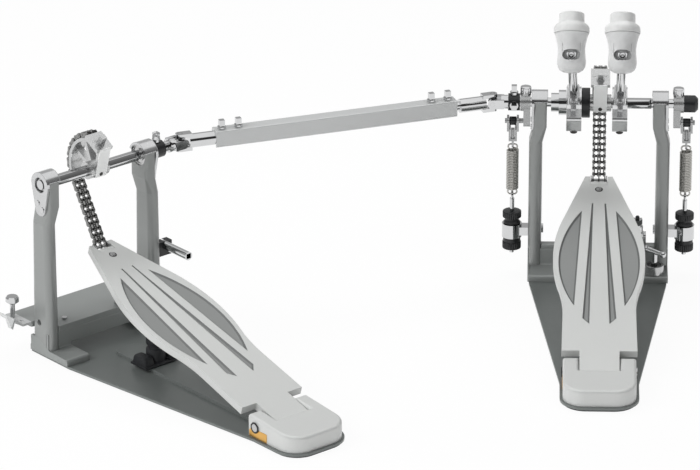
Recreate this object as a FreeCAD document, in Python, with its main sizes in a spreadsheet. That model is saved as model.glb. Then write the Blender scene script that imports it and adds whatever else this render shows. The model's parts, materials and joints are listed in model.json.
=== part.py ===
"""Double bass drum pedal: a main pedal with two beaters and a slave pedal joined by a drive shaft.

Frame of the model: millimetres, +Z up, floor at z = 0, origin on the floor under the middle of the
main shaft, +Y towards the drum, +X to the player's right. The slave pedal is the main pedal's frame
moved to the far end of the drive shaft and turned.
"""
import FreeCAD, Part
import math
import os

os.makedirs("parts", exist_ok=True)
doc = FreeCAD.newDocument("double_bass_drum_pedal")
Vec = FreeCAD.Vector

SIZES = {
    # shaft and its two bearing caps
    "shaft_height": 190.0, "journal_radius": 5.0, "hex_across_flats": 10.0, "running_gap": 0.06,
    "cap_inset": 10.7, "cap_width": 17.0, "cap_radius": 13.5, "cap_plate": 3.0, "cap_drop": 26.0,
    "cap_foot_radius": 8.0, "bearing_radius": 11.0, "bearing_width": 12.0, "bearing_lip_radius": 8.0,
    # posts
    "post_width": 14.0, "post_depth": 26.0, "post_round": 6.2, "post_head_round": 2.5, "post_rise": 4.0,
    "neck_drop": 24.0, "waist_drop": 42.0, "post_flare": 4.0, "post_hole_radius": 3.2, "post_hole_y": 2.5,
    "post_hole_z": 39.0, "post_hole_depth": 4.0,
    # base plate, pads and the cast frame that stands on it
    "pad_thickness": 2.0, "plate_thickness": 2.6, "plate_half_width": 72.0, "plate_rear": 20.0,
    "plate_taper_start": -44.0, "plate_heel_half": 40.0, "plate_heel_start": -300.0,
    "plate_end": -361.0, "plate_corner": 26.0, "rib_width": 30.0, "rib_height": 3.0,
    "frame_half_width": 73.5, "frame_front": -43.0, "wall_front": -12.0, "wall_depth": 10.0,
    "frame_rear": 18.0, "ledge_height": 11.5, "wall_height": 29.5, "arch_rise": 3.0, "ledge_inner": 45.0,
    "cheek_width": 2.2, "cheek_height": 22.0, "cheek_shoulder": 3.0, "bar_height": 4.5,
    "stand_height": 6.0, "stand_rear": 48.0, "stand_clear": 15.5,
    # heel plate and hinge
    "heel_half_width": 37.0, "heel_rear": -288.0, "heel_end": -358.0, "heel_corner": 22.0,
    "heel_height": 28.0, "heel_front_height": 21.0, "heel_edge": 3.0,
    "hinge_y": -299.0, "hinge_z": 16.0, "hinge_pin_radius": 3.0, "hinge_barrel_radius": 7.0,
    "hinge_ring_radius": 5.5, "hinge_ring_width": 1.2,
    # footboard, in its own frame: along it from the hinge, and square to its top
    "board_top": 10.0, "board_thickness": 8.0, "board_skin": 4.5, "board_rim": 5.0,
    "toe_pin_rise": 6.93, "toe_margin": 2.1, "toe_half": 14.2, "notch_half": 9.2, "notch_depth": 13.5,
    "board_step": 22.0, "board_step_half": 38.4, "tongue_half": 20.2, "tongue_end": 11.0,
    "slot_gap": 0.8, "recess_depth": 1.6, "toe_screw_back": 21.7, "toe_screw_radius": 3.0,
    # points of the footboard's plan: half widths, and distances back from the toe
    "shoulder_half": 37.0, "shoulder_back": 71.5, "board_widest": 47.3, "widest_back": 127.5,
    "hip_half": 43.0, "hip_back": 177.5, "waist_half": 38.6, "waist_back": 199.5,
    "board_neck": 37.4, "neck_back": 221.5, "hollow_half": 22.0,
    "leaf_foot_half": 25.8, "leaf_foot_back": 213.5, "leaf_bow_half": 41.6, "leaf_bow_back": 135.5,
    "leaf_tip_half": 17.7, "leaf_tip_back": 57.8, "groove_inner_half": 10.3, "groove_foot_back": 242.5,
    "groove_outer_half": 17.2, "groove_heel_back": 233.5, "groove_tip_inner": 5.9, "groove_tip_outer": 7.4,
    "groove_tip_back": 45.5,
    # chain and sprocket
    "chain_pitch": 6.35, "sprocket_teeth": 36.0, "run_links": 12.0, "chain_half": 6.8,
    "chain_plate": 1.2, "chain_plate_half_height": 2.7, "chain_pin_radius": 1.65, "toe_pin_y": -7.0,
    "clip_wall": 1.4, "clip_gap": 0.5, "clip_tail": 12.0, "clip_ear": 7.4, "wrap_links": 5.0,
    "rim_inner": 30.0, "rim_half_width": 8.0, "rim_lead": 4.0, "rim_overrun": 22.0, "tooth_tip": 38.3,
    "tooth_width": 1.8, "wheel_hub_radius": 9.0, "wheel_half_width": 11.7,
    "spoke_width": 4.0, "low_spoke_angle": 25.7, "high_spoke_angle": 67.5,
    # plates that close the D of the sprocket, from the shaft: their outer faces' ends in turn
    "bolt_plate_rear_y": 2.2, "bolt_plate_rear_z": 37.4, "bolt_plate_front_y": -17.0,
    "bolt_plate_front_z": 26.4, "bolt_plate_thickness": 4.0, "bolt_plate_half": 10.0, "bolt_share": 0.62,
    "front_plate_foot_y": -8.2, "front_plate_foot_z": -6.5, "front_plate_half": 7.0,
    "front_plate_thickness": 3.5, "bottom_bar_end_y": 25.5, "bottom_bar_end_z": -16.3,
    # beaters and their hubs
    "beater_lean": 49.0, "head_tilt": 9.4, "left_splay": 1.7, "left_beater_x": -27.2, "right_beater_x": 20.5,
    "hub_width": 15.6, "hub_radius": 17.0, "hub_drop": 26.5, "rod_radius": 4.7,
    "rod_start": 13.0, "rod_reach": 149.0, "rod_past_head": 9.0, "rod_block": 12.6, "rod_block_reach": 35.0,
    "grip_half_depth": 8.0,
    "head_front": 45.5, "head_back": 15.5, "head_ring_radius": 18.2, "strike_radius": 12.9,
    "head_waist_radius": 14.0, "head_bulge_radius": 14.8, "ring_back": 23.7, "ring_front": 36.4,
    "ring_lap": 3.5, "window_length": 19.0, "window_width": 12.0, "window_floor": 4.0,
    # stack along the main shaft
    "spacer_left": -19.2, "spacer_right": -12.2, "spacer_radius": 14.5,
    "step_gap": 3.3, "step_end": -35.2, "small_step_radius": 10.0, "sleeve_overlap": 25.0,
    "large_step_radius": 13.3, "sleeve_radius": 8.0, "sleeve_end": -19.5,
    "left_rocker_gap": 1.1, "right_rocker_gap": 5.2, "rocker_width": 10.6,
    "rocker_radius": 9.5, "rocker_throw": 20.0, "rocker_pin_radius": 2.6, "rocker_rest_angle": 10.0,
    "rocker_arm_width": 7.3, "arm_foot_half": 6.5, "arm_past_pin": 5.0, "roller_radius": 4.2,
    "roller_gap": 0.25,
    "sleeve_collar_gap": 0.4, "collar_width": 12.3, "collar_radius": 9.0, "collar_gap": 1.5,
    "end_cap_length": 14.5, "end_cap_radius": 9.0,
    # return springs
    "spring_reach": 19.2, "spring_radius": 5.7, "spring_wire": 1.9, "coil_pitch": 2.66,
    "coil_drop": 52.0, "coil_foot": 94.0, "hook_radius": 2.9, "hook_lift": 0.4, "hook_gap": 0.15,
    "eye_bolt_radius": 2.4, "eye_ring_radius": 3.6, "eye_wire_radius": 1.4, "bolt_foot": 22.0,
    "nut_radius": 9.8, "upper_nut_foot": 55.6,
    "upper_nut_height": 13.6, "bracket_foot": 40.2, "bracket_height": 15.0,
    "bracket_radius": 10.4, "lower_nut_foot": 27.0, "lower_nut_height": 12.8, "hanger_edge": 2.4,
    "hanger_hole_radius": 1.7, "hanger_thickness": 2.2, "hanger_play": 1.7, "hanger_drop": 2.0,
    "clevis_half": 6.2, "clevis_wall": 2.2, "fork_half": 4.3, "fork_wall": 2.2, "fork_bridge": 5.0,
    # drive shaft between the pedals
    "main_joint_reach": 16.3, "slave_joint_reach": 38.7, "joint_span": 342.0, "joint_bend": 21.0,
    "ear_inner": 5.4, "ear_thickness": 4.0, "ear_half": 4.8, "ear_root": 9.0, "yoke_hub_radius": 7.4,
    "yoke_hub_length": 7.0, "cross_half": 4.0, "cross_pin_radius": 2.3, "open_pivot_gap": 0.3,
    "channel_start": 42.0, "channel_end_inset": 37.0, "channel_width": 16.0, "channel_height": 18.0,
    "channel_wall": 2.5, "drive_rod_radius": 4.6, "drive_hub_length": 22.0, "key_bolt_inset": 8.0,
    "key_bolt_pitch": 18.0,
    # drum-key bolts
    "key_head": 5.6, "key_head_height": 7.0, "key_collar_radius": 4.4, "key_collar_height": 2.6,
    # hoop clamp at the main pedal
    "jaw_inset": 38.5, "jaw_width": 12.0, "jaw_pivot_y": -7.0, "jaw_pivot_rise": 9.0, "jaw_front": -22.0,
    "jaw_rear": 42.0, "jaw_pin_radius": 2.5, "lug_width": 3.0, "lug_half": 4.8, "jaw_bolt_rise": 20.0,
    "jaw_bolt_radius": 3.0, "jaw_bolt_head": 5.2, "wing_inset": 14.5, "wing_y": -32.0, "wing_half": 11.5,
    "wing_height": 24.5, "wing_yaw": -42.0, "wing_radius": 2.9, "wing_stem_radius": 3.2,
    "wing_tip_radius": 3.6, "cup_radius": 10.0, "cup_wall": 2.4, "cup_height": 10.0,
    # outrigger, spurs and key on the slave pedal
    "outrigger_flat": 11.0, "outrigger_peak": 21.5, "outrigger_reach": 26.0, "outrigger_rise": 9.0,
    "outrigger_sheet": 2.4, "outrigger_slant": 10.0, "outrigger_hole_x": 5.5, "outrigger_hole_y": 24.0,
    "outrigger_hole_radius": 2.0, "spur_x": 7.0, "spur_y": 38.0, "spur_radius": 2.6, "spur_stem": 15.0,
    "spur_head_radius": 7.0, "spur_head_height": 8.0, "spur_tip": 8.0,
    "stand_spur_x": 22.0, "stand_spur_y": -4.0, "stand_spur_radius": 3.2, "stand_spur_height": 16.0,
    "key_length": 42.0, "key_radius": 4.6, "key_height": 85.0, "key_start": -46.0, "key_clip_depth": 9.0,
    # bumper unit under each footboard
    "bumper_y": -95.0, "bumper_length": 46.0, "bumper_depth": 26.0, "bumper_base": 10.0,
    "bumper_radius": 10.0, "bumper_top": 40.0,
    # screws
    "screw_radius": 2.8, "screw_height": 2.0, "cap_screw_height": 0.8, "cap_screw_offset": 3.6,
    "stand_screw_x": 43.0, "stand_screw_y": 0.0, "bracket_bolt_radius": 5.5,
}


class Dim:
    """A size with the sheet expression that gives it, so that shapes stay bound to the sheet."""

    def __init__(self, value, text):
        self.value = value
        self.text = text

    def __float__(self):
        return self.value

    def __add__(self, other):
        return Dim(self.value + float(other), "(%s + %s)" % (self.text, text(other)))

    def __sub__(self, other):
        return Dim(self.value - float(other), "(%s - %s)" % (self.text, text(other)))

    def __mul__(self, other):
        return Dim(self.value * float(other), "(%s * %s)" % (self.text, text(other)))

    def __truediv__(self, other):
        return Dim(self.value / float(other), "(%s / %s)" % (self.text, text(other)))

    def __radd__(self, other):
        return Dim(float(other) + self.value, "(%s + %s)" % (text(other), self.text))

    def __rsub__(self, other):
        return Dim(float(other) - self.value, "(%s - %s)" % (text(other), self.text))

    def __neg__(self):
        return Dim(-self.value, "(0 - %s)" % self.text)


def text(size):
    """The expression of a size or of a plain number."""
    return size.text if isinstance(size, Dim) else "(%.6f)" % float(size)


sheet = doc.addObject("Spreadsheet::Sheet", "sizes")
for row, (alias, number) in enumerate(SIZES.items(), 1):
    sheet.set("A%d" % row, alias)
    sheet.set("B%d" % row, str(number))
    sheet.setAlias("B%d" % row, alias)
doc.recompute()


class Sheet:
    """Gives each size of the sheet by its alias."""

    def __getattr__(self, alias):
        return Dim(float(sheet.get(alias)), "sizes." + alias)


S = Sheet()

# Sizes that follow from the driving ones
plate_top = S.pad_thickness + S.plate_thickness
cap_outer = S.frame_half_width - S.cap_inset + S.cap_width / 2
cap_inner = cap_outer - S.cap_width
step_start = -(cap_inner - S.step_gap)
step_middle = (step_start + S.step_end) / 2
left_rocker_start = -(cap_outer + S.left_rocker_gap + S.rocker_width)
right_rocker_start = cap_outer + S.right_rocker_gap
collar_start = left_rocker_start - S.sleeve_collar_gap - S.collar_width
spring_x = cap_outer + S.spring_reach
main_joint_x = collar_start - S.main_joint_reach
slave_joint_x = cap_outer + S.slave_joint_reach
coil_top = S.shaft_height - S.coil_drop
post_centre = S.frame_half_width - S.post_width / 2
post_inner = S.frame_half_width - S.post_width
post_top = S.shaft_height + S.post_rise
channel_end = S.joint_span - S.channel_end_inset
bar_top = S.wall_height + S.bar_height
stand_top = S.wall_height + S.stand_height
hex_radius = S.hex_across_flats / math.sqrt(3)
pitch_radius = float(S.chain_pitch) / (2 * math.sin(math.pi / float(S.sprocket_teeth)))
link_angle = 360 / float(S.sprocket_teeth)
run_length = float(S.chain_pitch * S.run_links)
shaft_z = float(S.shaft_height)
toe_pin_z = shaft_z - math.sqrt(run_length ** 2 + pitch_radius ** 2 - float(S.toe_pin_y) ** 2)
toe_arm = math.hypot(float(S.toe_pin_y - S.hinge_y), toe_pin_z - float(S.hinge_z))
board_tilt = math.degrees(math.atan2(toe_pin_z - float(S.hinge_z), float(S.toe_pin_y - S.hinge_y))
                          - math.asin(float(S.toe_pin_rise) / toe_arm))
toe_pin_reach = math.sqrt(toe_arm ** 2 - float(S.toe_pin_rise) ** 2)
toe_reach = S.toe_margin + toe_pin_reach
toe_screw_reach = toe_reach - S.toe_screw_back
nodes = {}

TURNS = {
    "X": FreeCAD.Rotation(Vec(0, 1, 0), 90),
    "Y": FreeCAD.Rotation(Vec(1, 0, 0), -90),
    "Z": FreeCAD.Rotation(),
    "-Y": FreeCAD.Rotation(Vec(1, 0, 0), 90),
}


# Shape helpers
def bind(thing, prop, size):
    thing.setExpression(prop, text(size))


def put(thing, at, axis="Z"):
    """Stand a shape at a point with its own Z along the named axis."""
    thing.Placement = FreeCAD.Placement(Vec(), TURNS[axis])
    for letter, size in zip("xyz", at):
        bind(thing, "Placement.Base." + letter, size)
    return thing


def rod(name, radius, length, at, axis="Z"):
    thing = doc.addObject("Part::Cylinder", name)
    bind(thing, "Radius", radius)
    bind(thing, "Height", length)
    return put(thing, at, axis)


def cone(name, foot, top, length, at, axis="Z"):
    thing = doc.addObject("Part::Cone", name)
    bind(thing, "Radius1", foot)
    bind(thing, "Radius2", top)
    bind(thing, "Height", length)
    return put(thing, at, axis)


def ball(name, radius, at, axis="Z"):
    """A ball with its poles on the named axis."""
    thing = doc.addObject("Part::Sphere", name)
    bind(thing, "Radius", radius)
    return put(thing, at, axis)


def block(name, length, width, height, at):
    """A box given by its lowest corner."""
    thing = doc.addObject("Part::Box", name)
    bind(thing, "Length", length)
    bind(thing, "Width", width)
    bind(thing, "Height", height)
    return put(thing, at)


def hexagon(name, radius, length, at, axis="X"):
    thing = doc.addObject("Part::Prism", name)
    thing.Polygon = 6
    bind(thing, "Circumradius", radius)
    bind(thing, "Height", length)
    return put(thing, at, axis)


def fuse(name, *things):
    thing = doc.addObject("Part::MultiFuse", name)
    thing.Shapes = list(things)
    thing.Refine = True
    return thing


def cut(name, base, *tools):
    """A base with one or more tools taken out of it."""
    tool = tools[0] if len(tools) == 1 else fuse(name + "_tools", *tools)
    thing = doc.addObject("Part::Cut", name)
    thing.Base = base
    thing.Tool = tool
    thing.Refine = True
    return thing


def group(name, things, placement=None):
    """Separate solids under one name, moved together when a placement is given."""
    thing = doc.addObject("Part::Compound", name)
    thing.Links = list(things)
    if placement:
        thing.Placement = placement
    return thing


def rounded(corners):
    """Edges of a closed outline from corners (u, v, corner radius)."""
    ends = []
    for i, (u, v, radius) in enumerate(corners):
        corner = Vec(float(u), float(v), 0)
        before = Vec(float(corners[i - 1][0]), float(corners[i - 1][1]), 0) - corner
        after_point = corners[(i + 1) % len(corners)]
        after = Vec(float(after_point[0]), float(after_point[1]), 0) - corner
        before.normalize()
        after.normalize()
        if not float(radius):
            ends.append((corner, None, corner))
            continue
        half = before.getAngle(after) / 2
        middle = before + after
        middle.normalize()
        reach = float(radius) / math.tan(half)
        inner = corner + middle * (float(radius) / math.sin(half) - float(radius))
        ends.append((corner + before * reach, inner, corner + after * reach))
    edges = []
    for i, (start, inner, end) in enumerate(ends):
        if inner:
            edges.append(Part.Arc(start, inner, end))
        following = ends[(i + 1) % len(ends)][0]
        if end.distanceToPoint(following) > 1e-6:
            edges.append(Part.LineSegment(end, following))
    return edges


def path(points):
    """Edges through points: (u, v) ends a line, (mid u, mid v, u, v) ends an arc."""
    edges = []
    here = Vec(float(points[-1][-2]), float(points[-1][-1]), 0)
    for point in points:
        end = Vec(float(point[-2]), float(point[-1]), 0)
        if len(point) == 4:
            edges.append(Part.Arc(here, Vec(float(point[0]), float(point[1]), 0), end))
        elif end.distanceToPoint(here) > 1e-6:
            edges.append(Part.LineSegment(here, end))
        here = end
    return edges


def circle(u, v, radius):
    return [Part.Circle(Vec(float(u), float(v), 0), Vec(0, 0, 1), float(radius))]


def outline_on(body, plane, outlines, start):
    """A sketch of closed outlines on one of the body's own planes, moved along its normal."""
    sketch = body.newObject("Sketcher::SketchObject", body.Name + "_outline")
    support = [plane_object for plane_object in body.Origin.OriginFeatures if plane_object.Role == plane]
    sketch.AttachmentSupport = [(support[0], "")]
    sketch.MapMode = "FlatFace"
    bind(sketch, "AttachmentOffset.Base.z", start)
    for edges in outlines:
        sketch.addGeometry(edges, False)
    return sketch


def plate(name, plane, outlines, start, depth):
    """A padded outline; inner outlines are holes."""
    body = doc.addObject("PartDesign::Body", name)
    pad = body.newObject("PartDesign::Pad", name + "_pad")
    pad.Profile = outline_on(body, plane, outlines, start)
    bind(pad, "Length", depth)
    body.Tip = pad
    return body


def pocket(body, outlines, start, depth):
    """A recess cut downwards from a height in a body padded on its XY plane."""
    recess = body.newObject("PartDesign::Pocket", body.Name + "_recess")
    recess.Profile = outline_on(body, "XY_Plane", outlines, start)
    bind(recess, "Length", depth)
    body.Tip = recess
    return recess


def turned(name, outline, at, axis="Z"):
    """A body of revolution from an outline of (radius, height) edges."""
    body = doc.addObject("PartDesign::Body", name)
    sketch = outline_on(body, "XZ_Plane", [outline], 0)
    turn = body.newObject("PartDesign::Revolution", name + "_turn")
    turn.Profile = sketch
    turn.ReferenceAxis = (sketch, ["V_Axis"])
    turn.Angle = 360
    body.Tip = turn
    return put(body, at, axis)


def lean(degrees, at):
    """A placement turned about X, positive towards the player at the top."""
    return FreeCAD.Placement(Vec(*[float(size) for size in at]), FreeCAD.Rotation(Vec(1, 0, 0), degrees))


def key_bolt(name, at, axis="Z"):
    """A drum-key bolt: round collar with a square head on it, the foot of the collar at a point."""
    collar = rod(name + "_collar", S.key_collar_radius, S.key_collar_height, (0, 0, 0))
    head = block(name + "_head", S.key_head, S.key_head, S.key_head_height,
                 (-S.key_head / 2, -S.key_head / 2, S.key_collar_height))
    bolt = fuse(name, collar, head)
    return put(bolt, at, axis)


def slave_placement():
    """Where the main pedal's frame goes to become the slave pedal's."""
    bend = math.radians(float(S.joint_bend))
    x = float(main_joint_x) - float(S.joint_span) * math.cos(bend)
    y = -float(S.joint_span) * math.sin(bend)
    x -= float(slave_joint_x) * math.cos(2 * bend)
    y -= float(slave_joint_x) * math.sin(2 * bend)
    return FreeCAD.Placement(Vec(x, y, 0), FreeCAD.Rotation(Vec(0, 0, 1), 2 * float(S.joint_bend)))


SLAVE = slave_placement()


def both(name, things):
    """A node that holds the same pieces on the main and on the slave pedal."""
    copies = group(name + "_slave", things, SLAVE)
    nodes[name] = group(name, list(things) + [copies])


def sides(name, builder):
    """The left and the right piece of a pair, made by a builder that takes the side's sign."""
    return [builder(name + "_left", -1), builder(name + "_right", 1)]


# Base plates and rubber pads
def plate_corners(inset):
    """The tapering plan of the base plate, drawn in by an inset."""
    half = S.plate_half_width - inset
    heel = S.plate_heel_half - inset
    end = S.plate_end + inset
    rear = S.plate_rear - inset
    return [(-half, rear, 3), (-half, S.plate_taper_start, 20), (-heel, S.plate_heel_start, 20),
            (-heel, end, S.plate_corner - inset), (heel, end, S.plate_corner - inset),
            (heel, S.plate_heel_start, 20), (half, S.plate_taper_start, 20), (half, rear, 3)]


def base_plate():
    sheet_plate = plate("base_sheet", "XY_Plane", [rounded(plate_corners(0))], S.pad_thickness,
                        S.plate_thickness)
    half = S.rib_width / 2
    rib_front = S.heel_rear + 8
    rib_rear = S.frame_front - 2
    rib = plate("base_rib", "XY_Plane",
                [rounded([(-half, rib_front, 6), (half, rib_front, 6), (half, rib_rear, 6),
                          (-half, rib_rear, 6)])], plate_top, S.rib_height)
    both("base_plates", [fuse("base_plate", sheet_plate, rib)])


def base_pads():
    heel = S.plate_heel_half - 3
    heel_pad = plate("heel_pad", "XY_Plane",
                     [rounded([(-heel, S.plate_heel_start, 6), (-heel, S.plate_end + 2, S.plate_corner - 3),
                               (heel, S.plate_end + 2, S.plate_corner - 3),
                               (heel, S.plate_heel_start, 6)])], 0, S.pad_thickness)
    half = S.plate_half_width - 4
    front_pad = plate("front_pad", "XY_Plane",
                      [rounded([(-half, S.frame_front, 4), (half, S.frame_front, 4),
                                (half, S.plate_rear - 3, 4), (-half, S.plate_rear - 3, 4)])],
                      0, S.pad_thickness)
    both("base_pads", [heel_pad, front_pad])


# Cast frame, posts and bearings
def frame_casting(posts):
    """Two side blocks with a wall that bridges them, cheeks outside the posts, and what lies on the wall."""
    wall_back = S.wall_front + S.wall_depth
    profile = rounded([(S.frame_front, plate_top, 0), (S.frame_front, S.ledge_height, 3),
                       (S.wall_front, S.ledge_height, 1.5), (S.wall_front, S.wall_height, 1),
                       (wall_back, S.wall_height, 1), (wall_back, S.ledge_height, 1.5),
                       (S.frame_rear, S.ledge_height, 2), (S.frame_rear, plate_top, 0)])
    half = S.frame_half_width
    solid = plate("frame_profile", "YZ_Plane", [profile], -half, half * 2)
    arch = block("frame_arch", S.ledge_inner * 2, S.frame_rear - S.frame_front + 2,
                 S.ledge_height + S.arch_rise - plate_top, (-S.ledge_inner, S.frame_front - 1, plate_top))
    open_middle = cut("frame_open", solid, arch, *posts)
    casting = fuse("frame_casting", open_middle, *sides("frame_cheek", cheek))
    bar = plate("frame_bar", "YZ_Plane",
                [rounded([(S.wall_front, S.wall_height, 0.8), (S.wall_front, bar_top, 1.5),
                          (wall_back, bar_top, 1.5), (wall_back, S.wall_height, 0.8)])],
                -post_inner, post_inner * 2)
    stand = group("frame_stand_slave", [casting, stand_plate()], SLAVE)
    nodes["frame_castings"] = group("frame_castings", [casting, bar, stand])


def stand_plate():
    """The deep plate on the slave's wall, narrow between the posts and wide behind them."""
    inner = post_inner
    half = S.frame_half_width
    return plate("stand_plate", "XY_Plane",
                 [rounded([(-inner, S.wall_front, 1), (inner, S.wall_front, 1), (inner, S.stand_clear, 0),
                           (half, S.stand_clear, 2), (half, S.stand_rear, 4), (-half, S.stand_rear, 4),
                           (-half, S.stand_clear, 2), (-inner, S.stand_clear, 0)])],
                 S.wall_height, S.stand_height)


def cheek(name, sign):
    """The thin wall of the casting that climbs past the outer side of a post's foot."""
    rear = S.frame_rear - 1
    front = S.frame_front + 1
    return plate(name, "YZ_Plane",
                 [rounded([(front, plate_top, 0), (front, S.ledge_height, 2),
                           (S.wall_front - 1, S.ledge_height + 0.4, 4), (S.cheek_shoulder, S.cheek_height, 4),
                           (rear, S.cheek_height, 2), (rear, plate_top, 0)])],
                 S.frame_half_width - S.cheek_width if sign > 0 else -S.frame_half_width, S.cheek_width)


def post_section(name, centre, width, depth, height, corner):
    """A rounded rectangle at a height, one section of a post."""
    sketch = doc.addObject("Sketcher::SketchObject", name)
    half = width / 2
    corners = [(centre - half, -depth / 2, corner), (centre + half, -depth / 2, corner),
               (centre + half, depth / 2, corner), (centre - half, depth / 2, corner)]
    sketch.addGeometry(rounded(corners), False)
    bind(sketch, "Placement.Base.z", height)
    return sketch


def cap_half_depth():
    """Half the depth of a bearing cap where it meets the top of its post."""
    return math.sqrt(float(S.cap_radius) ** 2 - float(S.post_rise) ** 2)


def post(name, sign):
    top_width = S.cap_width - S.cap_plate - 1
    top_centre = (cap_outer - S.cap_plate - top_width / 2) * sign
    foot_centre = post_centre * sign
    waist = S.shaft_height - S.waist_drop
    neck = S.shaft_height - S.neck_drop
    loft = doc.addObject("Part::Loft", name + "_loft")
    loft.Sections = [
        post_section(name + "_foot", foot_centre, S.post_width, S.post_depth + S.post_flare, S.ledge_height,
                     S.post_round),
        post_section(name + "_waist", foot_centre, S.post_width, S.post_depth, waist, S.post_round),
        post_section(name + "_neck", top_centre, top_width, S.post_depth - 1, neck, S.post_head_round),
        post_section(name + "_head", top_centre, top_width, cap_half_depth() * 2, post_top, S.post_head_round),
    ]
    loft.Solid = True
    loft.Ruled = True
    start = S.frame_half_width - S.post_hole_depth if sign > 0 else -S.frame_half_width - 1
    hole = rod(name + "_hole", S.post_hole_radius, S.post_hole_depth + 1, (start, S.post_hole_y, S.post_hole_z),
               "X")
    return cut(name, loft, bearing_seat(name + "_seat", sign), hole, cheek(name + "_cheek", sign),
               cap_tongue(name + "_recess", sign, S.cap_plate + S.post_width))


def bearing_seat(name, sign):
    """The round seat that a bearing fills, shared by a cap and the post's head."""
    length = S.cap_width - S.cap_plate
    start = cap_inner if sign > 0 else -(cap_inner + length)
    return rod(name, S.bearing_radius, length, (start, 0, S.shaft_height), "X")


def cap_tongue(name, sign, thickness):
    """The plate of a bearing cap on the post's outer side, round over the shaft and hanging down."""
    radius = S.cap_radius
    foot = S.shaft_height - S.cap_drop
    inner = cap_outer - S.cap_plate
    return plate(name, "YZ_Plane",
                 [path([(S.cap_foot_radius, foot), (radius, S.shaft_height),
                        (0, S.shaft_height + radius, -radius, S.shaft_height), (-S.cap_foot_radius, foot),
                        (0, foot - S.cap_foot_radius, S.cap_foot_radius, foot)])],
                 inner if sign > 0 else -inner - thickness, thickness)


def bearing_cap(name, sign):
    """The chrome cap over a bearing, with the plate that hangs down on the post's outer face."""
    side = cap_half_depth()
    dome = plate(name + "_dome", "YZ_Plane",
                 [path([(side, post_top), (0, S.shaft_height + S.cap_radius, -side, post_top)])],
                 cap_inner if sign > 0 else -cap_outer, S.cap_width)
    tongue = cap_tongue(name + "_tongue", sign, S.cap_plate)
    seat = bearing_seat(name + "_seat", sign)
    bore = rod(name + "_bore", S.bearing_lip_radius, S.cap_width + 2,
               (cap_inner - 1 if sign > 0 else -cap_outer - 1, 0, S.shaft_height), "X")
    return cut(name, fuse(name + "_solid", dome, tongue), seat, bore)


def bearing(name, sign):
    """A ball bearing as one ring with a groove between its races on both faces."""
    inner = S.journal_radius + S.running_gap
    outer = S.bearing_radius
    width = S.bearing_width
    groove_inner = inner + 1.6
    groove_outer = outer - 1.6
    outline = path([(outer, 0), (outer, width), (groove_outer, width), (groove_outer, width - 1),
                    (groove_inner, width - 1), (groove_inner, width), (inner, width), (inner, 0),
                    (groove_inner, 0), (groove_inner, 1), (groove_outer, 1), (groove_outer, 0)])
    seat_end = cap_outer - S.cap_plate
    start = seat_end - width if sign > 0 else -seat_end
    return turned(name, outline, (start, 0, S.shaft_height), "X")


# Heel plates and footboards
def heel_slope():
    """The wedge above the heel plate's falling top."""
    drop_end = S.heel_end - 5
    return plate("heel_wedge", "YZ_Plane",
                 [path([(S.heel_rear + 1, S.heel_height), (S.heel_rear + 1, S.heel_height * 2),
                        (drop_end, S.heel_height * 2), (drop_end, S.heel_front_height)])],
                 -S.heel_half_width - 1, S.heel_half_width * 2 + 2)


def heel_plate():
    half = S.heel_half_width
    solid = plate("heel_block", "XY_Plane",
                  [rounded([(-half, S.heel_rear, 1.5), (-half, S.heel_end, S.heel_corner),
                            (half, S.heel_end, S.heel_corner), (half, S.heel_rear, 1.5)])],
                  plate_top, S.heel_height - plate_top)
    slot_half = S.tongue_half + S.slot_gap
    slot_front = tongue_front() - float(S.slot_gap)
    slot_foot = S.hinge_z - S.hinge_barrel_radius - S.slot_gap
    slot = block("heel_slot", slot_half * 2, float(S.heel_rear) - slot_front + 1, S.heel_height,
                 (-slot_half, slot_front, slot_foot))
    bore = rod("heel_bore", S.hinge_pin_radius, half * 2 + 2, (-half - 1, S.hinge_y, S.hinge_z), "X")
    shaped = cut("heel_shaped", solid, heel_slope(), slot, bore)
    doc.recompute()
    rim = doc.addObject("Part::Fillet", "heel_plate")
    rim.Base = shaped
    rim.Edges = [(i, float(S.heel_edge), float(S.heel_edge)) for i in heel_rim_edges(shaped.Shape)]
    both("heel_plates", [rim])


def heel_rim_edges(shape):
    """Numbers of the edges along the front and the two sides of the heel plate's top."""
    least = float(S.heel_corner) * 0.85
    found = []
    for number, edge in enumerate(shape.Edges, 1):
        box = edge.BoundBox
        outside = max(abs(box.XMin), abs(box.XMax)) > float(S.heel_half_width) - float(S.heel_corner)
        high = box.ZMin > float(S.heel_front_height) - 1
        long_enough = max(box.YLength, box.XLength) > least
        clear = box.YMax < float(S.heel_rear) - 1e-3 or box.YLength > least
        if outside and high and long_enough and clear:
            found.append(number)
    return found


def tongue_front():
    """How far towards the player the footboard's tongue reaches."""
    tilt = math.radians(board_tilt)
    return float(S.hinge_y) - float(S.tongue_end) * math.cos(tilt) - float(S.board_top) * math.sin(tilt)


def heel_hinge():
    half = S.heel_half_width
    pin = rod("hinge_pin", S.hinge_pin_radius, (half + S.hinge_ring_width) * 2,
              (-half - S.hinge_ring_width, S.hinge_y, S.hinge_z), "X")
    rings = []
    for name, start in (("hinge_ring_left", -half - S.hinge_ring_width), ("hinge_ring_right", half)):
        ring = rod(name + "_disc", S.hinge_ring_radius, S.hinge_ring_width, (start, S.hinge_y, S.hinge_z), "X")
        hole = rod(name + "_hole", S.hinge_pin_radius, S.hinge_ring_width + 2,
                   (start - 1, S.hinge_y, S.hinge_z), "X")
        rings.append(cut(name, ring, hole))
    both("heel_hinges", [pin] + rings)


def from_toe(half, back):
    """A point of the footboard's plan from its half width and its distance back from the toe."""
    return float(half), float(toe_reach - back)


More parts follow.
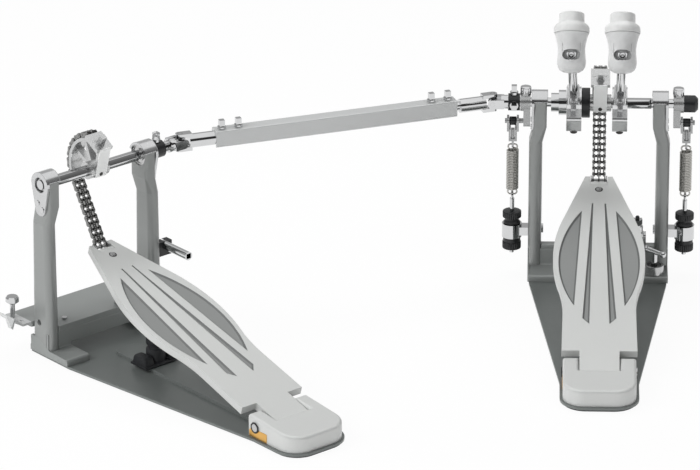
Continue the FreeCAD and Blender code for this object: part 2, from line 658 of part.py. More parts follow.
def board_half_outline(inset):
    """The right half of the footboard's plan from toe to step, drawn in by an inset."""
    return [from_toe(S.toe_half - inset, inset), from_toe(S.shoulder_half - inset, S.shoulder_back),
            from_toe(S.board_widest - inset, S.widest_back) + from_toe(S.hip_half - inset, S.hip_back),
            from_toe(S.waist_half - inset, S.waist_back) + from_toe(S.board_neck - inset, S.neck_back),
            (float(S.board_step_half - inset), float(S.board_step + inset))]


def mirrored(points):
    """The same half outline on the left, walked back from its last point."""
    back = []
    ends = [(point[-2], point[-1]) for point in points]
    for i in range(len(points) - 1, 0, -1):
        end = ends[i - 1]
        if len(points[i]) == 4:
            back.append((-float(points[i][0]), points[i][1], -float(end[0]), end[1]))
        else:
            back.append((-float(end[0]), end[1]))
    return back


def board_outline():
    half = board_half_outline(0)
    tongue = -S.tongue_end
    toe_foot = toe_reach - S.notch_depth
    points = half + [(S.tongue_half, S.board_step), (S.tongue_half, tongue), (-S.tongue_half, tongue),
                     (-S.tongue_half, S.board_step), (-S.board_step_half, S.board_step)]
    points += mirrored(half)
    points += [(-S.notch_half, toe_reach), (-S.notch_half, toe_foot), (S.notch_half, toe_foot),
               (S.notch_half, toe_reach)]
    return path(points)


def board_hollow():
    """The open underside of the footboard inside its rim."""
    half = board_half_outline(S.board_rim)
    head = toe_reach - S.notch_depth - S.board_rim * 3
    start = [(S.hollow_half, head)] + half[1:]
    left = mirrored(start)
    return path(start + [(-float(half[-1][0]), half[-1][1])] + left)


def board_pockets():
    """Two leaf-shaped recesses beside two tapering grooves."""
    outlines = []
    for sign in (-1, 1):
        outlines.append(path([from_toe(S.leaf_foot_half * sign, S.leaf_foot_back),
                              from_toe(S.leaf_bow_half * sign, S.leaf_bow_back)
                              + from_toe(S.leaf_tip_half * sign, S.leaf_tip_back)]))
        outlines.append(path([from_toe(S.groove_inner_half * sign, S.groove_foot_back),
                              from_toe(S.groove_outer_half * sign, S.groove_heel_back),
                              from_toe(S.groove_tip_outer * sign, S.groove_tip_back),
                              from_toe(S.groove_tip_inner * sign, S.groove_tip_back)]))
    return outlines


def footboard():
    """The board in its own frame, hinge axis through the origin."""
    body = plate("board", "XY_Plane", [board_outline()], S.board_top - S.board_thickness, S.board_thickness)
    pocket(body, board_pockets(), S.board_top, S.recess_depth)
    pocket(body, [board_hollow()], S.board_top - S.board_skin, S.board_thickness)
    barrel = rod("board_barrel", S.hinge_barrel_radius, S.tongue_half * 2, (-S.tongue_half, 0, 0), "X")
    bore = rod("board_bore", S.hinge_pin_radius + S.running_gap, S.tongue_half * 2 + 2,
               (-S.tongue_half - 1, 0, 0), "X")
    screw_hole = rod("board_screw_hole", S.toe_screw_radius / 2, S.board_top * 3,
                     (0, toe_screw_reach, -S.board_top))
    return cut("footboard", fuse("board_solid", body, barrel), bore, screw_hole)


def toe_clip():
    """The bracket in the toe notch that holds the chain's last pin, with its screw, in the board's frame."""
    inner = S.chain_half + S.clip_gap
    foot = S.board_top - S.board_thickness
    start = toe_screw_reach - S.clip_tail
    base = block("clip_base", (inner + S.clip_wall) * 2, toe_reach - start, S.clip_wall,
                 (-inner - S.clip_wall, start, foot - S.clip_wall))
    ears = []
    for name, x in (("clip_ear_left", -inner - S.clip_wall), ("clip_ear_right", inner)):
        ears.append(block(name, S.clip_wall, S.clip_ear, S.board_top - foot + S.clip_wall,
                          (x, toe_pin_reach - S.clip_ear / 2, foot - S.clip_wall)))
    pin = rod("clip_pin", S.chain_pin_radius - S.running_gap, (inner + S.clip_wall) * 2,
              (-inner - S.clip_wall, toe_pin_reach, S.toe_pin_rise), "X")
    shank = rod("clip_shank", S.toe_screw_radius / 2, S.board_thickness, (0, toe_screw_reach, foot))
    head = cone("clip_screw_head", S.toe_screw_radius, S.toe_screw_radius * 0.6, 1.2,
                (0, toe_screw_reach, S.board_top))
    window = block("clip_window", inner * 2, S.notch_depth, S.clip_wall * 4,
                   (-inner, toe_reach - S.notch_depth + 3, foot - S.clip_wall * 2))
    frame = cut("clip_frame", base, window)
    return fuse("toe_clip", frame, pin, shank, head, *ears)


def footboards():
    at = lean(board_tilt, (0, S.hinge_y, S.hinge_z))
    for part_name, thing in (("footboard", footboard()), ("toe_clip", toe_clip())):
        nodes["main_" + part_name] = group("main_" + part_name, [thing], at)
        nodes["slave_" + part_name] = group("slave_" + part_name, [thing], SLAVE.multiply(at))


# Chain and sprocket
def wheel_point(degrees, radius):
    """A point on the sprocket, measured from the drum side upwards."""
    angle = math.radians(degrees)
    return Vec(0, radius * math.cos(angle), shaft_z + radius * math.sin(angle))


def tangent_angle():
    """Where the chain leaves the sprocket at rest."""
    y = float(S.toe_pin_y)
    z = toe_pin_z - shaft_z
    away = math.degrees(math.acos(pitch_radius / math.hypot(y, z)))
    return math.degrees(math.atan2(z, y)) + away


def link_plate(start, end, x, thickness):
    """One flat plate of a link between two pins."""
    along = (end - start).normalize()
    across = Vec(0, -along.z, along.y)
    half = float(S.chain_plate_half_height)
    short = half * 0.45
    corners = [start - along * half + across * short, start - along * short + across * half,
               end + along * short + across * half, end + along * half + across * short,
               end + along * half - across * short, end + along * short - across * half,
               start - along * short - across * half, start - along * half - across * short]
    points = [corner + Vec(x, 0, 0) for corner in corners]
    return Part.Face(Part.makePolygon(points + points[:1])).extrude(Vec(thickness, 0, 0))


def link_columns(outer):
    """The places along X of the plates in an outer or an inner link."""
    thick = float(S.chain_plate)
    edge = float(S.chain_half)
    if outer:
        return [(-edge, thick), (-thick / 2, thick), (edge - thick, thick)]
    inner = edge - thick - 0.2
    return [(-inner, thick), (inner - thick, thick), (-thick * 1.5 - 0.2, thick), (thick / 2 + 0.2, thick)]


def chain_pin(point, half, inner=0.0):
    """A six-sided roller and pin across the chain, or its two halves beside the middle plate."""
    radius = float(S.chain_pin_radius)
    corners = [point + Vec(0, radius * math.cos(math.pi / 3 * i), radius * math.sin(math.pi / 3 * i))
               for i in range(6)]
    spans = [(-half, half * 2)] if not inner else [(-half, half - inner), (inner, half - inner)]
    pins = []
    for start, length in spans:
        ring = [corner + Vec(start, 0, 0) for corner in corners]
        pins.append(Part.Face(Part.makePolygon(ring + ring[:1])).extrude(Vec(length, 0, 0)))
    return pins


def round_pin(point, radius, half):
    return Part.makeCylinder(radius, half * 2, point - Vec(half, 0, 0), Vec(1, 0, 0))


def chain_links(name, points, first_outer, first_end, last_end):
    """A stretch of chain; each end is 'pin', 'hinge pin', 'bore' or 'open'."""
    half = float(S.chain_half)
    inner_half = half - float(S.chain_plate) - 0.2
    solids = []
    for i in range(len(points) - 1):
        outer = (i % 2 == 0) == first_outer
        for x, thickness in link_columns(outer):
            solids.append(link_plate(points[i], points[i + 1], x, thickness))
    bores = []
    ends = {0: first_end, len(points) - 1: last_end}
    for i, point in enumerate(points):
        kind = ends.get(i, "pin")
        if kind == "pin":
            solids += chain_pin(point, half)
        elif kind == "hinge pin":
            solids.append(round_pin(point, float(S.chain_pin_radius), half))
        elif kind == "open":
            solids += chain_pin(point, inner_half, float(S.chain_plate) / 2 + 0.2)
        elif kind == "bore":
            bores.append(round_pin(point, float(S.chain_pin_radius + S.running_gap), half + 1))
    shape = solids[0].multiFuse(solids[1:])
    for bore in bores:
        shape = shape.cut(bore)
    thing = doc.addObject("Part::Feature", name)
    thing.Shape = shape.removeSplitter()
    return thing


def chains():
    """Toe to block: a straight run, two short lengths that roll off the sprocket, and the wrap."""
    toe = Vec(0, float(S.toe_pin_y), toe_pin_z)
    leave = tangent_angle()
    top = wheel_point(leave, pitch_radius)
    count = int(float(S.run_links))
    run_points = [toe + (top - toe) * (i / count) for i in range(count + 1)]
    end = 6 + int(float(S.wrap_links))
    on_wheel = [wheel_point(leave + link_angle * i, pitch_radius) for i in range(end + 1)]
    outer_start = count % 2 == 0
    pieces = {
        "chain_run": chain_links("run_links_shape", run_points, True, "bore", "open"),
        "chain_lower": chain_links("lower_links_shape", on_wheel[0:4], outer_start, "none", "bore"),
        "chain_upper": chain_links("upper_links_shape", on_wheel[3:7], not outer_start, "hinge pin", "bore"),
        "chain_wrap": chain_links("wrap_links_shape", on_wheel[6:], outer_start, "hinge pin", "pin"),
    }
    for part_name, thing in pieces.items():
        nodes["main_" + part_name] = group("main_" + part_name, [thing])
        nodes["slave_" + part_name] = group("slave_" + part_name, [thing], SLAVE)
    return leave + link_angle * end


def tooth_ring(name, x, leave, last):
    """A toothed disc that fills the gap between two columns of chain plates."""
    root = pitch_radius - float(S.chain_pin_radius) - 0.15
    tip = float(S.tooth_tip)
    points = []
    teeth = int(round((last - leave) / link_angle))
    for i in range(-1, teeth + 1):
        middle = leave + link_angle * (i + 0.5)
        for turn, radius in ((-0.26, root), (-0.09, tip), (0.09, tip), (0.26, root)):
            points.append(wheel_point(middle + link_angle * turn, radius) + Vec(x, 0, 0))
    back = float(S.rim_inner) + 2
    steps = 8
    for i in range(steps + 1):
        share = i / steps
        points.append(wheel_point(last + link_angle - share * (last - leave + 2 * link_angle), back)
                      + Vec(x, 0, 0))
    ring = doc.addObject("Part::Feature", name)
    ring.Shape = Part.Face(Part.makePolygon(points + points[:1])).extrude(Vec(float(S.tooth_width), 0, 0))
    return ring


def rim_sector(leave, last):
    """The curved rim under the chain, from where the chain leaves to under the bolt plate."""
    outer = pitch_radius - float(S.chain_plate_half_height) - 0.3
    start = leave - float(S.rim_lead)
    end = last + float(S.rim_overrun)
    corners = []
    for radius, degrees in ((outer, start), (outer, (start + end) / 2), (outer, end),
                            (S.rim_inner, end), (S.rim_inner, (start + end) / 2), (S.rim_inner, start)):
        point = wheel_point(degrees, float(radius))
        corners.append((point.y, point.z))
    outline = path([corners[0], corners[1] + corners[2], corners[3], corners[4] + corners[5]])
    return plate("wheel_rim", "YZ_Plane", [outline], -S.rim_half_width, S.rim_half_width * 2)


def wheel_bar(name, start, end, thickness, half):
    """A flat bar across the wheel from the two ends of its outer face; its thickness lies to the left."""
    along = (end - start).normalize()
    inward = Vec(0, -along.z, along.y) * float(thickness)
    corners = [start, end, end + inward, start + inward]
    return plate(name, "YZ_Plane",
                 [rounded([(corner.y, S.shaft_height + corner.z, 0) for corner in corners])], -half, half * 2)


def wheel_spoke(name, degrees):
    """A thin spoke from the hub to the rim."""
    angle = math.radians(float(degrees))
    out = Vec(0, math.cos(angle), math.sin(angle))
    side = Vec(0, out.z, -out.y) * float(S.spoke_width / 2)
    return wheel_bar(name, out * float(S.wheel_hub_radius - 3) + side, out * float(S.rim_inner + 1) + side,
                     S.spoke_width, S.spoke_width)


def sprocket(last):
    """The D-shaped wheel: toothed rim, plates that close it, two spokes and a hub on the hexagon."""
    leave = tangent_angle()
    z = S.shaft_height
    rear = Vec(0, float(S.bolt_plate_rear_y), float(S.bolt_plate_rear_z))
    front = Vec(0, float(S.bolt_plate_front_y), float(S.bolt_plate_front_z))
    foot = Vec(0, float(S.front_plate_foot_y), float(S.front_plate_foot_z))
    low = Vec(0, float(S.bottom_bar_end_y), float(S.bottom_bar_end_z))
    bars = [wheel_bar("bolt_plate", rear, front, S.bolt_plate_thickness, S.bolt_plate_half),
            wheel_bar("front_plate", front, foot, S.front_plate_thickness, S.front_plate_half),
            wheel_bar("bottom_bar", foot, low, S.front_plate_thickness, S.front_plate_half),
            wheel_spoke("low_spoke", S.low_spoke_angle), wheel_spoke("high_spoke", S.high_spoke_angle)]
    hub = rod("wheel_hub", S.wheel_hub_radius, S.wheel_half_width * 2, (-S.wheel_half_width, 0, z), "X")
    gap = float(S.chain_plate) * 1.5 + 0.5
    teeth = [tooth_ring("teeth_left", -gap - float(S.tooth_width), leave, last - link_angle),
             tooth_ring("teeth_right", gap, leave, last - link_angle)]
    solid = fuse("wheel_solid", rim_sector(leave, last), hub, *(bars + teeth))
    hexhole = hexagon("wheel_hexagon", hex_radius, S.wheel_half_width * 2 + 2, (-S.wheel_half_width - 1, 0, z))
    wheel = cut("sprocket", solid, hexhole)
    seat = rear + (front - rear) * float(S.bolt_share)
    slope = math.degrees(math.atan2(rear.z - front.z, rear.y - front.y))
    bolt = group("block_bolt_place", [key_bolt("block_bolt", (0, 0, 0))], lean(slope, (0, seat.y, z + seat.z)))
    nodes["main_sprocket"] = group("main_sprocket", [wheel, bolt])
    nodes["slave_sprocket"] = group("slave_sprocket", [wheel, bolt], SLAVE)


# Shafts and what is clamped on them
def yoke(name, hub_at, ears_at, pin_axis):
    """A yoke on X: a hub and two ears round a joint centre, bored for the cross pins."""
    direction = 1 if float(ears_at) > float(hub_at) else -1
    start = hub_at if direction > 0 else hub_at - S.yoke_hub_length
    hub = rod(name + "_hub", S.yoke_hub_radius, S.yoke_hub_length, (start, 0, 0), "X")
    ears = []
    reach = abs(float(ears_at) - float(hub_at)) - float(S.yoke_hub_length) + 2.0
    for side in (-1, 1):
        offset = S.ear_inner if side > 0 else -S.ear_inner - S.ear_thickness
        x = ears_at if direction < 0 else ears_at - reach
        strap = block(name + "_strap%d" % side, reach, S.ear_thickness, S.ear_half * 2,
                      (x, offset, -S.ear_half))
        tip = rod(name + "_tip%d" % side, S.ear_half, S.ear_thickness, (ears_at, offset, 0), "Y")
        ears += [strap, tip]
    cheek_start = start if direction < 0 else start + S.yoke_hub_length - 3
    cheek = block(name + "_cheek", 3, (S.ear_inner + S.ear_thickness) * 2, S.ear_half * 2,
                  (cheek_start, -S.ear_inner - S.ear_thickness, -S.ear_half))
    gap = S.running_gap if pin_axis == "Y" else S.open_pivot_gap
    bore = rod(name + "_bore", S.cross_pin_radius + gap, (S.ear_inner + S.ear_thickness) * 2 + 2,
               (ears_at, -S.ear_inner - S.ear_thickness - 1, 0), "Y")
    made = cut(name, fuse(name + "_solid", hub, cheek, *ears), bore)
    turn = FreeCAD.Rotation(Vec(1, 0, 0), 0 if pin_axis == "Y" else 90)
    made.Placement = FreeCAD.Placement(Vec(), turn)
    return made


def at_shaft_height(name, thing):
    return group(name, [thing], FreeCAD.Placement(Vec(0, 0, shaft_z), FreeCAD.Rotation()))


def main_shaft():
    z = S.shaft_height
    hex_end = cap_inner - 0.8
    journal_start = S.sleeve_end - S.sleeve_overlap
    shaft_end = right_rocker_start + S.rocker_width + S.end_cap_length - 4
    journal = rod("main_journal", S.journal_radius, shaft_end - journal_start, (journal_start, 0, z), "X")
    flats = hexagon("main_flats", hex_radius, hex_end - S.spacer_right, (S.spacer_right, 0, z))
    nodes["main_shaft"] = fuse("main_shaft", journal, flats)


def slave_shaft():
    """The slave pedal's shaft, from its outer cap to the yoke of the drive."""
    hex_end = cap_inner - 0.8
    yoke_hub = slave_joint_x - S.ear_root - S.yoke_hub_length
    journal = rod("slave_journal", S.journal_radius, yoke_hub + cap_outer - 0.5, (-cap_outer + 0.5, 0, 0), "X")
    flats = hexagon("slave_flats", hex_radius, hex_end * 2, (-hex_end, 0, 0))
    ends = yoke("slave_yoke", yoke_hub, slave_joint_x, "Y")
    shaft = at_shaft_height("slave_shaft_level", fuse("slave_shaft_solid", journal, flats, ends))
    bolt = key_bolt("slave_collar_bolt", (cap_outer + S.collar_gap + S.collar_width / 2, 0,
                                          S.shaft_height + S.collar_radius))
    nodes["slave_shaft"] = group("slave_shaft", [shaft, bolt], SLAVE)


def sleeve():
    """The hollow left shaft that the drive turns: yoke, journal, two steps and the tube of the left hub."""
    yoke_hub = main_joint_x + S.ear_root + S.yoke_hub_length
    journal = rod("sleeve_journal", S.journal_radius, step_start - yoke_hub + 1, (yoke_hub - 1, 0, 0), "X")
    small = rod("sleeve_small_step", S.small_step_radius, step_middle - step_start,
                (step_start, 0, 0), "X")
    large = rod("sleeve_large_step", S.large_step_radius, S.step_end - step_middle,
                (step_middle, 0, 0), "X")
    tube = rod("sleeve_tube", S.sleeve_radius, S.sleeve_end - S.step_end, (S.step_end, 0, 0), "X")
    bore_start = S.sleeve_end - S.sleeve_overlap - 1
    bore = rod("sleeve_bore", S.journal_radius + S.running_gap, S.sleeve_overlap + 2, (bore_start, 0, 0), "X")
    ends = yoke("sleeve_yoke", yoke_hub, main_joint_x, "Y")
    hollow = cut("sleeve_hollow", fuse("sleeve_solid", journal, small, large, tube, ends), bore)
    nodes["sleeve"] = at_shaft_height("sleeve", hollow)


def beater_turn(splay):
    """How a beater's rod leans towards the player, after a small splay to the left."""
    return FreeCAD.Rotation(Vec(1, 0, 0), float(S.beater_lean)) * FreeCAD.Rotation(Vec(0, 1, 0), -float(splay))


def beater_hub(name, x, splay, bore):
    """A chrome hub with a lobe towards the player and a leaning block that grips the beater rod."""
    half = S.hub_width / 2
    radius = S.hub_radius
    disc = rod(name + "_disc", radius, S.hub_width, (-half, 0, 0), "X")
    lobe = plate(name + "_lobe", "YZ_Plane",
                 [rounded([(radius * 0.7, -radius * 0.6, 0), (2, -S.hub_drop, 3), (-radius, -S.hub_drop, 5),
                           (-radius - 7, -radius * 0.6, 5), (-radius * 0.9, 2, 0)])], -half, S.hub_width)
    band = rod(name + "_band", radius + 3, S.hub_width * 0.3, (-S.hub_width * 0.15, 0, 0), "X")
    band_core = rod(name + "_band_core", radius - 1.5, S.hub_width, (-half, 0, 0), "X")
    groove = cut(name + "_groove", band, band_core)
    ring = cut(name + "_ring", disc, groove)
    grip_half = S.rod_block / 2
    grip = plate(name + "_grip", "XY_Plane",
                 [rounded([(-grip_half, -S.grip_half_depth, 2), (grip_half, -S.grip_half_depth, 2),
                           (grip_half, S.grip_half_depth, 2), (-grip_half, S.grip_half_depth, 2)])],
                 radius - 4, S.rod_block_reach - radius + 4)
    rod_hole = rod(name + "_rod_hole", S.rod_radius, S.rod_block_reach, (0, 0, S.rod_start))
    turn = FreeCAD.Placement(Vec(), beater_turn(splay))
    leaning = group(name + "_leaning_grip", [grip], turn)
    leaning_hole = group(name + "_leaning_hole", [rod_hole], turn)
    hub = cut(name, fuse(name + "_solid", ring, lobe, leaning), bore, leaning_hole)
    bolt = group(name + "_bolt_place", [key_bolt(
        name + "_bolt", (0, -S.grip_half_depth, (radius + S.rod_block_reach) / 2), "-Y")], turn)
    return group(name + "_set", [hub, bolt], FreeCAD.Placement(Vec(float(x), 0, shaft_z), FreeCAD.Rotation()))


def beater_parts(name, x, splay):
    """Rod, head body and striking pad, built with the rod on Z and the strike along Y."""
    at = FreeCAD.Placement(Vec(float(x), 0, shaft_z), beater_turn(splay))
    rod_part = rod(name + "_rod_shape", S.rod_radius, S.rod_reach - S.rod_start, (0, 0, S.rod_start))
    grip = S.rod_reach - S.rod_past_head
    on_rod = lean(float(S.head_tilt), (0, 0, grip))
    ring = S.head_ring_radius
    lap = S.ring_back + S.ring_lap
    body = turned(name + "_body_shape", path([
        (0, -S.head_back), (S.head_bulge_radius * 0.62, -S.head_back),
        (S.head_bulge_radius * 0.97, -S.head_back + 4.2, S.head_bulge_radius, -S.head_back + 10.5),
        (S.head_waist_radius + 0.4, 2, S.head_waist_radius, 8), (ring - 1.4, S.ring_back - 2),
        (ring, S.ring_back + 2), (ring, lap), (0, lap)]), (0, 0, 0), "Y")
    half = S.window_length / 2
    side = S.window_width / 2
    window = plate(name + "_window", "XY_Plane",
                   [path([(side, half - side), (0, half, -side, half - side), (-side, side - half),
                          (0, -half, side, side - half)])], S.window_floor, S.head_ring_radius)
    tilted = group(name + "_head_tilted", [cut(name + "_head_open", body, window)], on_rod)
    hole = rod(name + "_head_hole", S.rod_radius, S.head_ring_radius * 2 + S.rod_past_head,
               (0, 0, grip - S.head_ring_radius * 2))
    pad = turned(name + "_pad_shape", path([
        (0, lap), (ring, lap), (ring, S.ring_front - 3),
        (ring - 0.9, S.ring_front - 0.9, ring - 3, S.ring_front), (S.strike_radius, S.ring_front),
        (S.strike_radius, S.head_front - 2), (S.strike_radius - 0.6, S.head_front - 0.6,
                                              S.strike_radius - 2, S.head_front),
        (0, S.head_front)]), (0, 0, 0), "Y")
    nodes[name + "_rod"] = group(name + "_rod", [rod_part], at)
    nodes[name + "_head"] = group(name + "_head", [cut(name + "_head_shape", tilted, hole)], at)
    nodes[name + "_pad"] = group(name + "_pad", [group(name + "_pad_tilted", [pad], on_rod)], at)


def rocker(name, start, sign):
    """A spring rocker: ring on the shaft, arm down to a pin that carries the spring hanger's roller."""
    z = S.shaft_height
    pin_y, pin_z = hanger_rest()
    ring = rod(name + "_ring", S.rocker_radius, S.rocker_width, (start, 0, z), "X")
    top = S.rocker_radius * 0.8
    arm_start = start if sign > 0 else start + S.rocker_width - S.rocker_arm_width
    arm = plate(name + "_arm", "YZ_Plane",
                [rounded([(-top, z, 0), (pin_y - S.arm_foot_half, pin_z - S.arm_past_pin, 3),
                          (pin_y + S.arm_foot_half, pin_z - S.arm_past_pin, 3), (top, z, 0)])],
                arm_start, S.rocker_arm_width)
    reach = spring_x + S.clevis_half + S.clevis_wall
    root = arm_start + S.rocker_arm_width / 2
    pin_length = reach - root if sign > 0 else reach + root
    pin = rod(name + "_pin", S.rocker_pin_radius, pin_length, (root if sign > 0 else -reach, pin_y, pin_z), "X")
    roller_half = S.clevis_half - S.clevis_wall - S.roller_gap
    roller = rod(name + "_roller", S.roller_radius, roller_half * 2,
                 (spring_x * sign - roller_half, pin_y, pin_z), "X")
    nut = hexagon(name + "_nut", 5.6, 8, (start + S.rocker_width / 2, 0, z + S.rocker_radius - 1.5), "Z")
    bore = rod(name + "_bore", S.journal_radius, S.rocker_width + 2, (start - 1, 0, z), "X")
    return cut(name, fuse(name + "_solid", ring, arm, pin, roller, nut), bore)


def ring_on_shaft(name, start, length, radius, bore_radius):
    """A plain round collar on the main shaft line."""
    z = S.shaft_height
    disc = rod(name + "_disc", radius, length, (start, 0, z), "X")
    bore = rod(name + "_bore", bore_radius, length + 2, (start - 1, 0, z), "X")
    return cut(name + "_shape", disc, bore)


def end_cap():
    """The black cap over the right end of the main shaft, with a chamfered rim."""
    start = right_rocker_start + S.rocker_width + 0.3
    length = S.end_cap_length
    radius = S.end_cap_radius
    outline = path([(0, length), (0, length - 3), (S.journal_radius, length - 3), (S.journal_radius, 0),
                    (radius, 0), (radius, length - 3), (radius - 3, length)])
    return turned("end_cap_shape", outline, (start, 0, S.shaft_height), "X")


# Return springs
def hanger_rest():
    """Where the rocker pin stands at rest, along Y and Z."""
    angle = math.radians(270 - float(S.rocker_rest_angle))
    return float(S.rocker_throw) * math.cos(angle), shaft_z + float(S.rocker_throw) * math.sin(angle)


def hook_top():
    """Height of the upper hook's wire where it passes through the hanger."""
    return coil_top + S.hook_lift + S.hook_radius * 2


def eye_height():
    """Height of the eye bolt's ring, so that the lower hook's wire lies just under the ring's top."""
    low = S.coil_foot - S.hook_lift - S.hook_radius * 2
    return low + S.spring_wire / 2 + S.hook_gap + S.eye_wire_radius - S.eye_ring_radius


def hanger(name, sign):
    """A clevis with windows for the rocker pin, a slit fork below it and a tab for the spring hook."""
    pin_y, pin_z = hanger_rest()
    window = S.rocker_pin_radius + S.hanger_play
    half = window + S.hanger_edge
    above = pin_z + S.rocker_pin_radius + S.open_pivot_gap
    below = pin_z - S.rocker_pin_radius - S.hanger_drop
    shoulder = below - 4
    tab_top = hook_top() + S.hanger_hole_radius + S.fork_bridge
    narrow = S.hanger_hole_radius * 2
    middle = spring_x * sign
    foot = hook_top() - narrow
    tab = plate(name + "_tab", "YZ_Plane",
                [rounded([(pin_y - narrow, foot, 2.5), (pin_y + narrow, foot, 2.5),
                          (pin_y + narrow, tab_top, 0), (pin_y - narrow, tab_top, 0)]),
                 circle(pin_y, hook_top(), S.hanger_hole_radius)],
                middle - S.hanger_thickness / 2, S.hanger_thickness)
    bridge = block(name + "_bridge", S.fork_half * 2, narrow * 2, S.fork_bridge / 2,
                   (middle - S.fork_half, pin_y - narrow, tab_top - S.fork_bridge / 2))
    pieces = [tab, bridge]
    for label, side in (("near", -1), ("far", 1)):
        prong_start = middle + S.fork_half - S.fork_wall if side > 0 else middle - S.fork_half
        cheek_start = middle + S.clevis_half - S.clevis_wall if side > 0 else middle - S.clevis_half
        step_start = middle + S.fork_half - S.fork_wall if side > 0 else middle - S.clevis_half
        pieces.append(plate("%s_%s_prong" % (name, label), "YZ_Plane",
                            [path([(pin_y + narrow, tab_top - S.fork_bridge / 2), (pin_y + half, shoulder),
                                   (pin_y - half, shoulder), (pin_y - narrow, tab_top - S.fork_bridge / 2)])],
                            prong_start, S.fork_wall))
        pieces.append(block("%s_%s_step" % (name, label), S.clevis_half - S.fork_half + S.fork_wall, half * 2,
                            S.clevis_wall, (step_start, pin_y - half, shoulder - S.clevis_wall / 2)))
        pieces.append(plate("%s_%s_cheek" % (name, label), "YZ_Plane",
                            [rounded([(pin_y - half, shoulder, 0), (pin_y + half, shoulder, 0),
                                      (pin_y + half, above + S.hanger_edge, 4),
                                      (pin_y - half, above + S.hanger_edge, 4)]),
                             rounded([(pin_y - window, below, 2), (pin_y + window, below, 2),
                                      (pin_y + window, above, 2), (pin_y - window, above, 2)])],
                            cheek_start, S.clevis_wall))
    return fuse(name, *pieces)


def coil_points():
    """Points on the coil about its own axis, eight to a turn, from the foot up."""
    radius = float(S.spring_radius)
    turns = int(float(coil_top - S.coil_foot) / float(S.coil_pitch))
    steps = turns * 8 + 4
    rise = float(coil_top - S.coil_foot) / steps
    points = []
    for i in range(steps + 1):
        angle = math.pi / 2 + math.pi / 4 * i
        points.append(Vec(radius * math.cos(angle), radius * math.sin(angle), float(S.coil_foot) + rise * i))
    return points


def hook_points():
    """Points of the upper hook: in to the axis, then round a loop that stops short of closing."""
    radius = float(S.spring_radius)
    loop = float(S.hook_radius)
    foot = float(coil_top + S.hook_lift)
    points = [Vec(radius / 2, -radius / 2, foot - float(S.hook_lift) / 2), Vec(0, 0, foot)]
    for quarter in (1, 2, 3):
        angle = math.pi / 2 * quarter
        points.append(Vec(-loop * math.sin(angle), 0, foot + loop - loop * math.cos(angle)))
    return points


def tangent_arc(start, heading, end):
    """The arc from a point with a given heading to another point, and the heading there."""
    chord = end - start
    length = chord.Length
    chord.normalize()
    along = heading.dot(chord)
    side = heading - chord * along
    if side.Length < 1e-6:
        return Part.LineSegment(start, end).toShape(), heading
    side.normalize()
    half_turn = math.acos(max(-1.0, min(1.0, along))) / 2
    middle = start + chord * (length / 2) + side * (length / 2 * math.tan(half_turn))
    return Part.Arc(start, middle, end).toShape(), chord * (2 * along) - heading


def spring_edges():
    """The upper half of the spring's line as arcs: half of the coil and the upper hook."""
    points = coil_points()
    edges = []
    for i in range(0, len(points) - 2, 2):
        edges.append(Part.Arc(points[i], points[i + 1], points[i + 2]).toShape())
    last = edges[-1]
    heading = last.tangentAt(last.LastParameter)
    here = points[-1]
    hook = []
    for point in hook_points():
        edge, heading = tangent_arc(here, heading, point)
        hook.append(edge)
        here = point
    return edges, hook


def spring(name, sign):
    """One spring as an unbroken tube: lower hook, open turns and upper hook."""
    coil, hook = spring_edges()
    middle = Vec(0, 0, float(coil_top + S.coil_foot) / 2)
    lower = [edge.copy().rotate(middle, Vec(1, 0, 0), 180) for edge in hook]
    wire = Part.Wire(Part.__sortEdges__(coil + hook + lower))
    radius = float(S.spring_wire) / 2
    end = hook[-1]
    ring = Part.Wire(Part.makeCircle(radius, end.valueAt(end.LastParameter), end.tangentAt(end.LastParameter)))
    tube = wire.makePipeShell([ring], True, False)
    points = coil_points() + hook_points()
    apart = min((point - other).Length for i, point in enumerate(points) for other in points[i + 4:])
    print(name, "least gap of the wire to itself %.2f mm" % (apart - 2 * radius))
    thing = doc.addObject("Part::Feature", name + "_coil")
    thing.Shape = tube
    return group(name + "_place", [thing], FreeCAD.Placement(
        Vec(float(spring_x) * sign, hanger_rest()[0], 0), FreeCAD.Rotation()))


def eye_bolt(name, sign):
    """A bolt with a ring at its top, held in the bracket's ring."""
    y = hanger_rest()[0]
    x = spring_x * sign
    ring = doc.addObject("Part::Torus", name + "_ring")
    bind(ring, "Radius1", S.eye_ring_radius)
    bind(ring, "Radius2", S.eye_wire_radius)
    put(ring, (x, y, eye_height()), "X")
    shank = rod(name + "_shank", S.eye_bolt_radius, eye_height() - S.eye_ring_radius - S.bolt_foot,
                (x, y, S.bolt_foot))
    return fuse(name, ring, shank)


def tension_nuts(name, sign):
    """Knurled adjusting and locking nuts on an eye bolt."""
    y = hanger_rest()[0]
    x = spring_x * sign
    made = []
    for part_name, foot, height in (("upper", S.upper_nut_foot, S.upper_nut_height),
                                    ("lower", S.lower_nut_foot, S.lower_nut_height)):
        label = "%s_%s" % (name, part_name)
        rim = S.nut_radius
        waist = S.nut_radius * 0.72
        outline = path([(S.eye_bolt_radius + S.running_gap, 0), (rim - 1, 0), (rim, 1), (rim, height * 0.6),
                        (waist, height * 0.68), (waist, height), (S.eye_bolt_radius + S.running_gap, height)])
        made.append(turned(label, outline, (x, y, foot)))
    return made


def spring_bracket(name, sign):
    """A ring on an arm bolted to the post, with the bolt's head on the inner side."""
    y = hanger_rest()[0]
    x = spring_x * sign
    ring = rod(name + "_ring", S.bracket_radius, S.bracket_height, (x, y, S.bracket_foot))
    hole = rod(name + "_hole", S.eye_bolt_radius, S.bracket_height + 2, (x, y, S.bracket_foot - 1))
    post_face = S.frame_half_width
    arm_length = spring_x - post_face
    arm = block(name + "_arm", arm_length, S.bracket_radius * 1.3, S.bracket_height * 0.6,
                (post_face if sign > 0 else -spring_x, y - float(S.bracket_radius) * 0.65,
                 S.bracket_foot + S.bracket_height * 0.2))
    return cut(name, fuse(name + "_solid", ring, arm), hole)


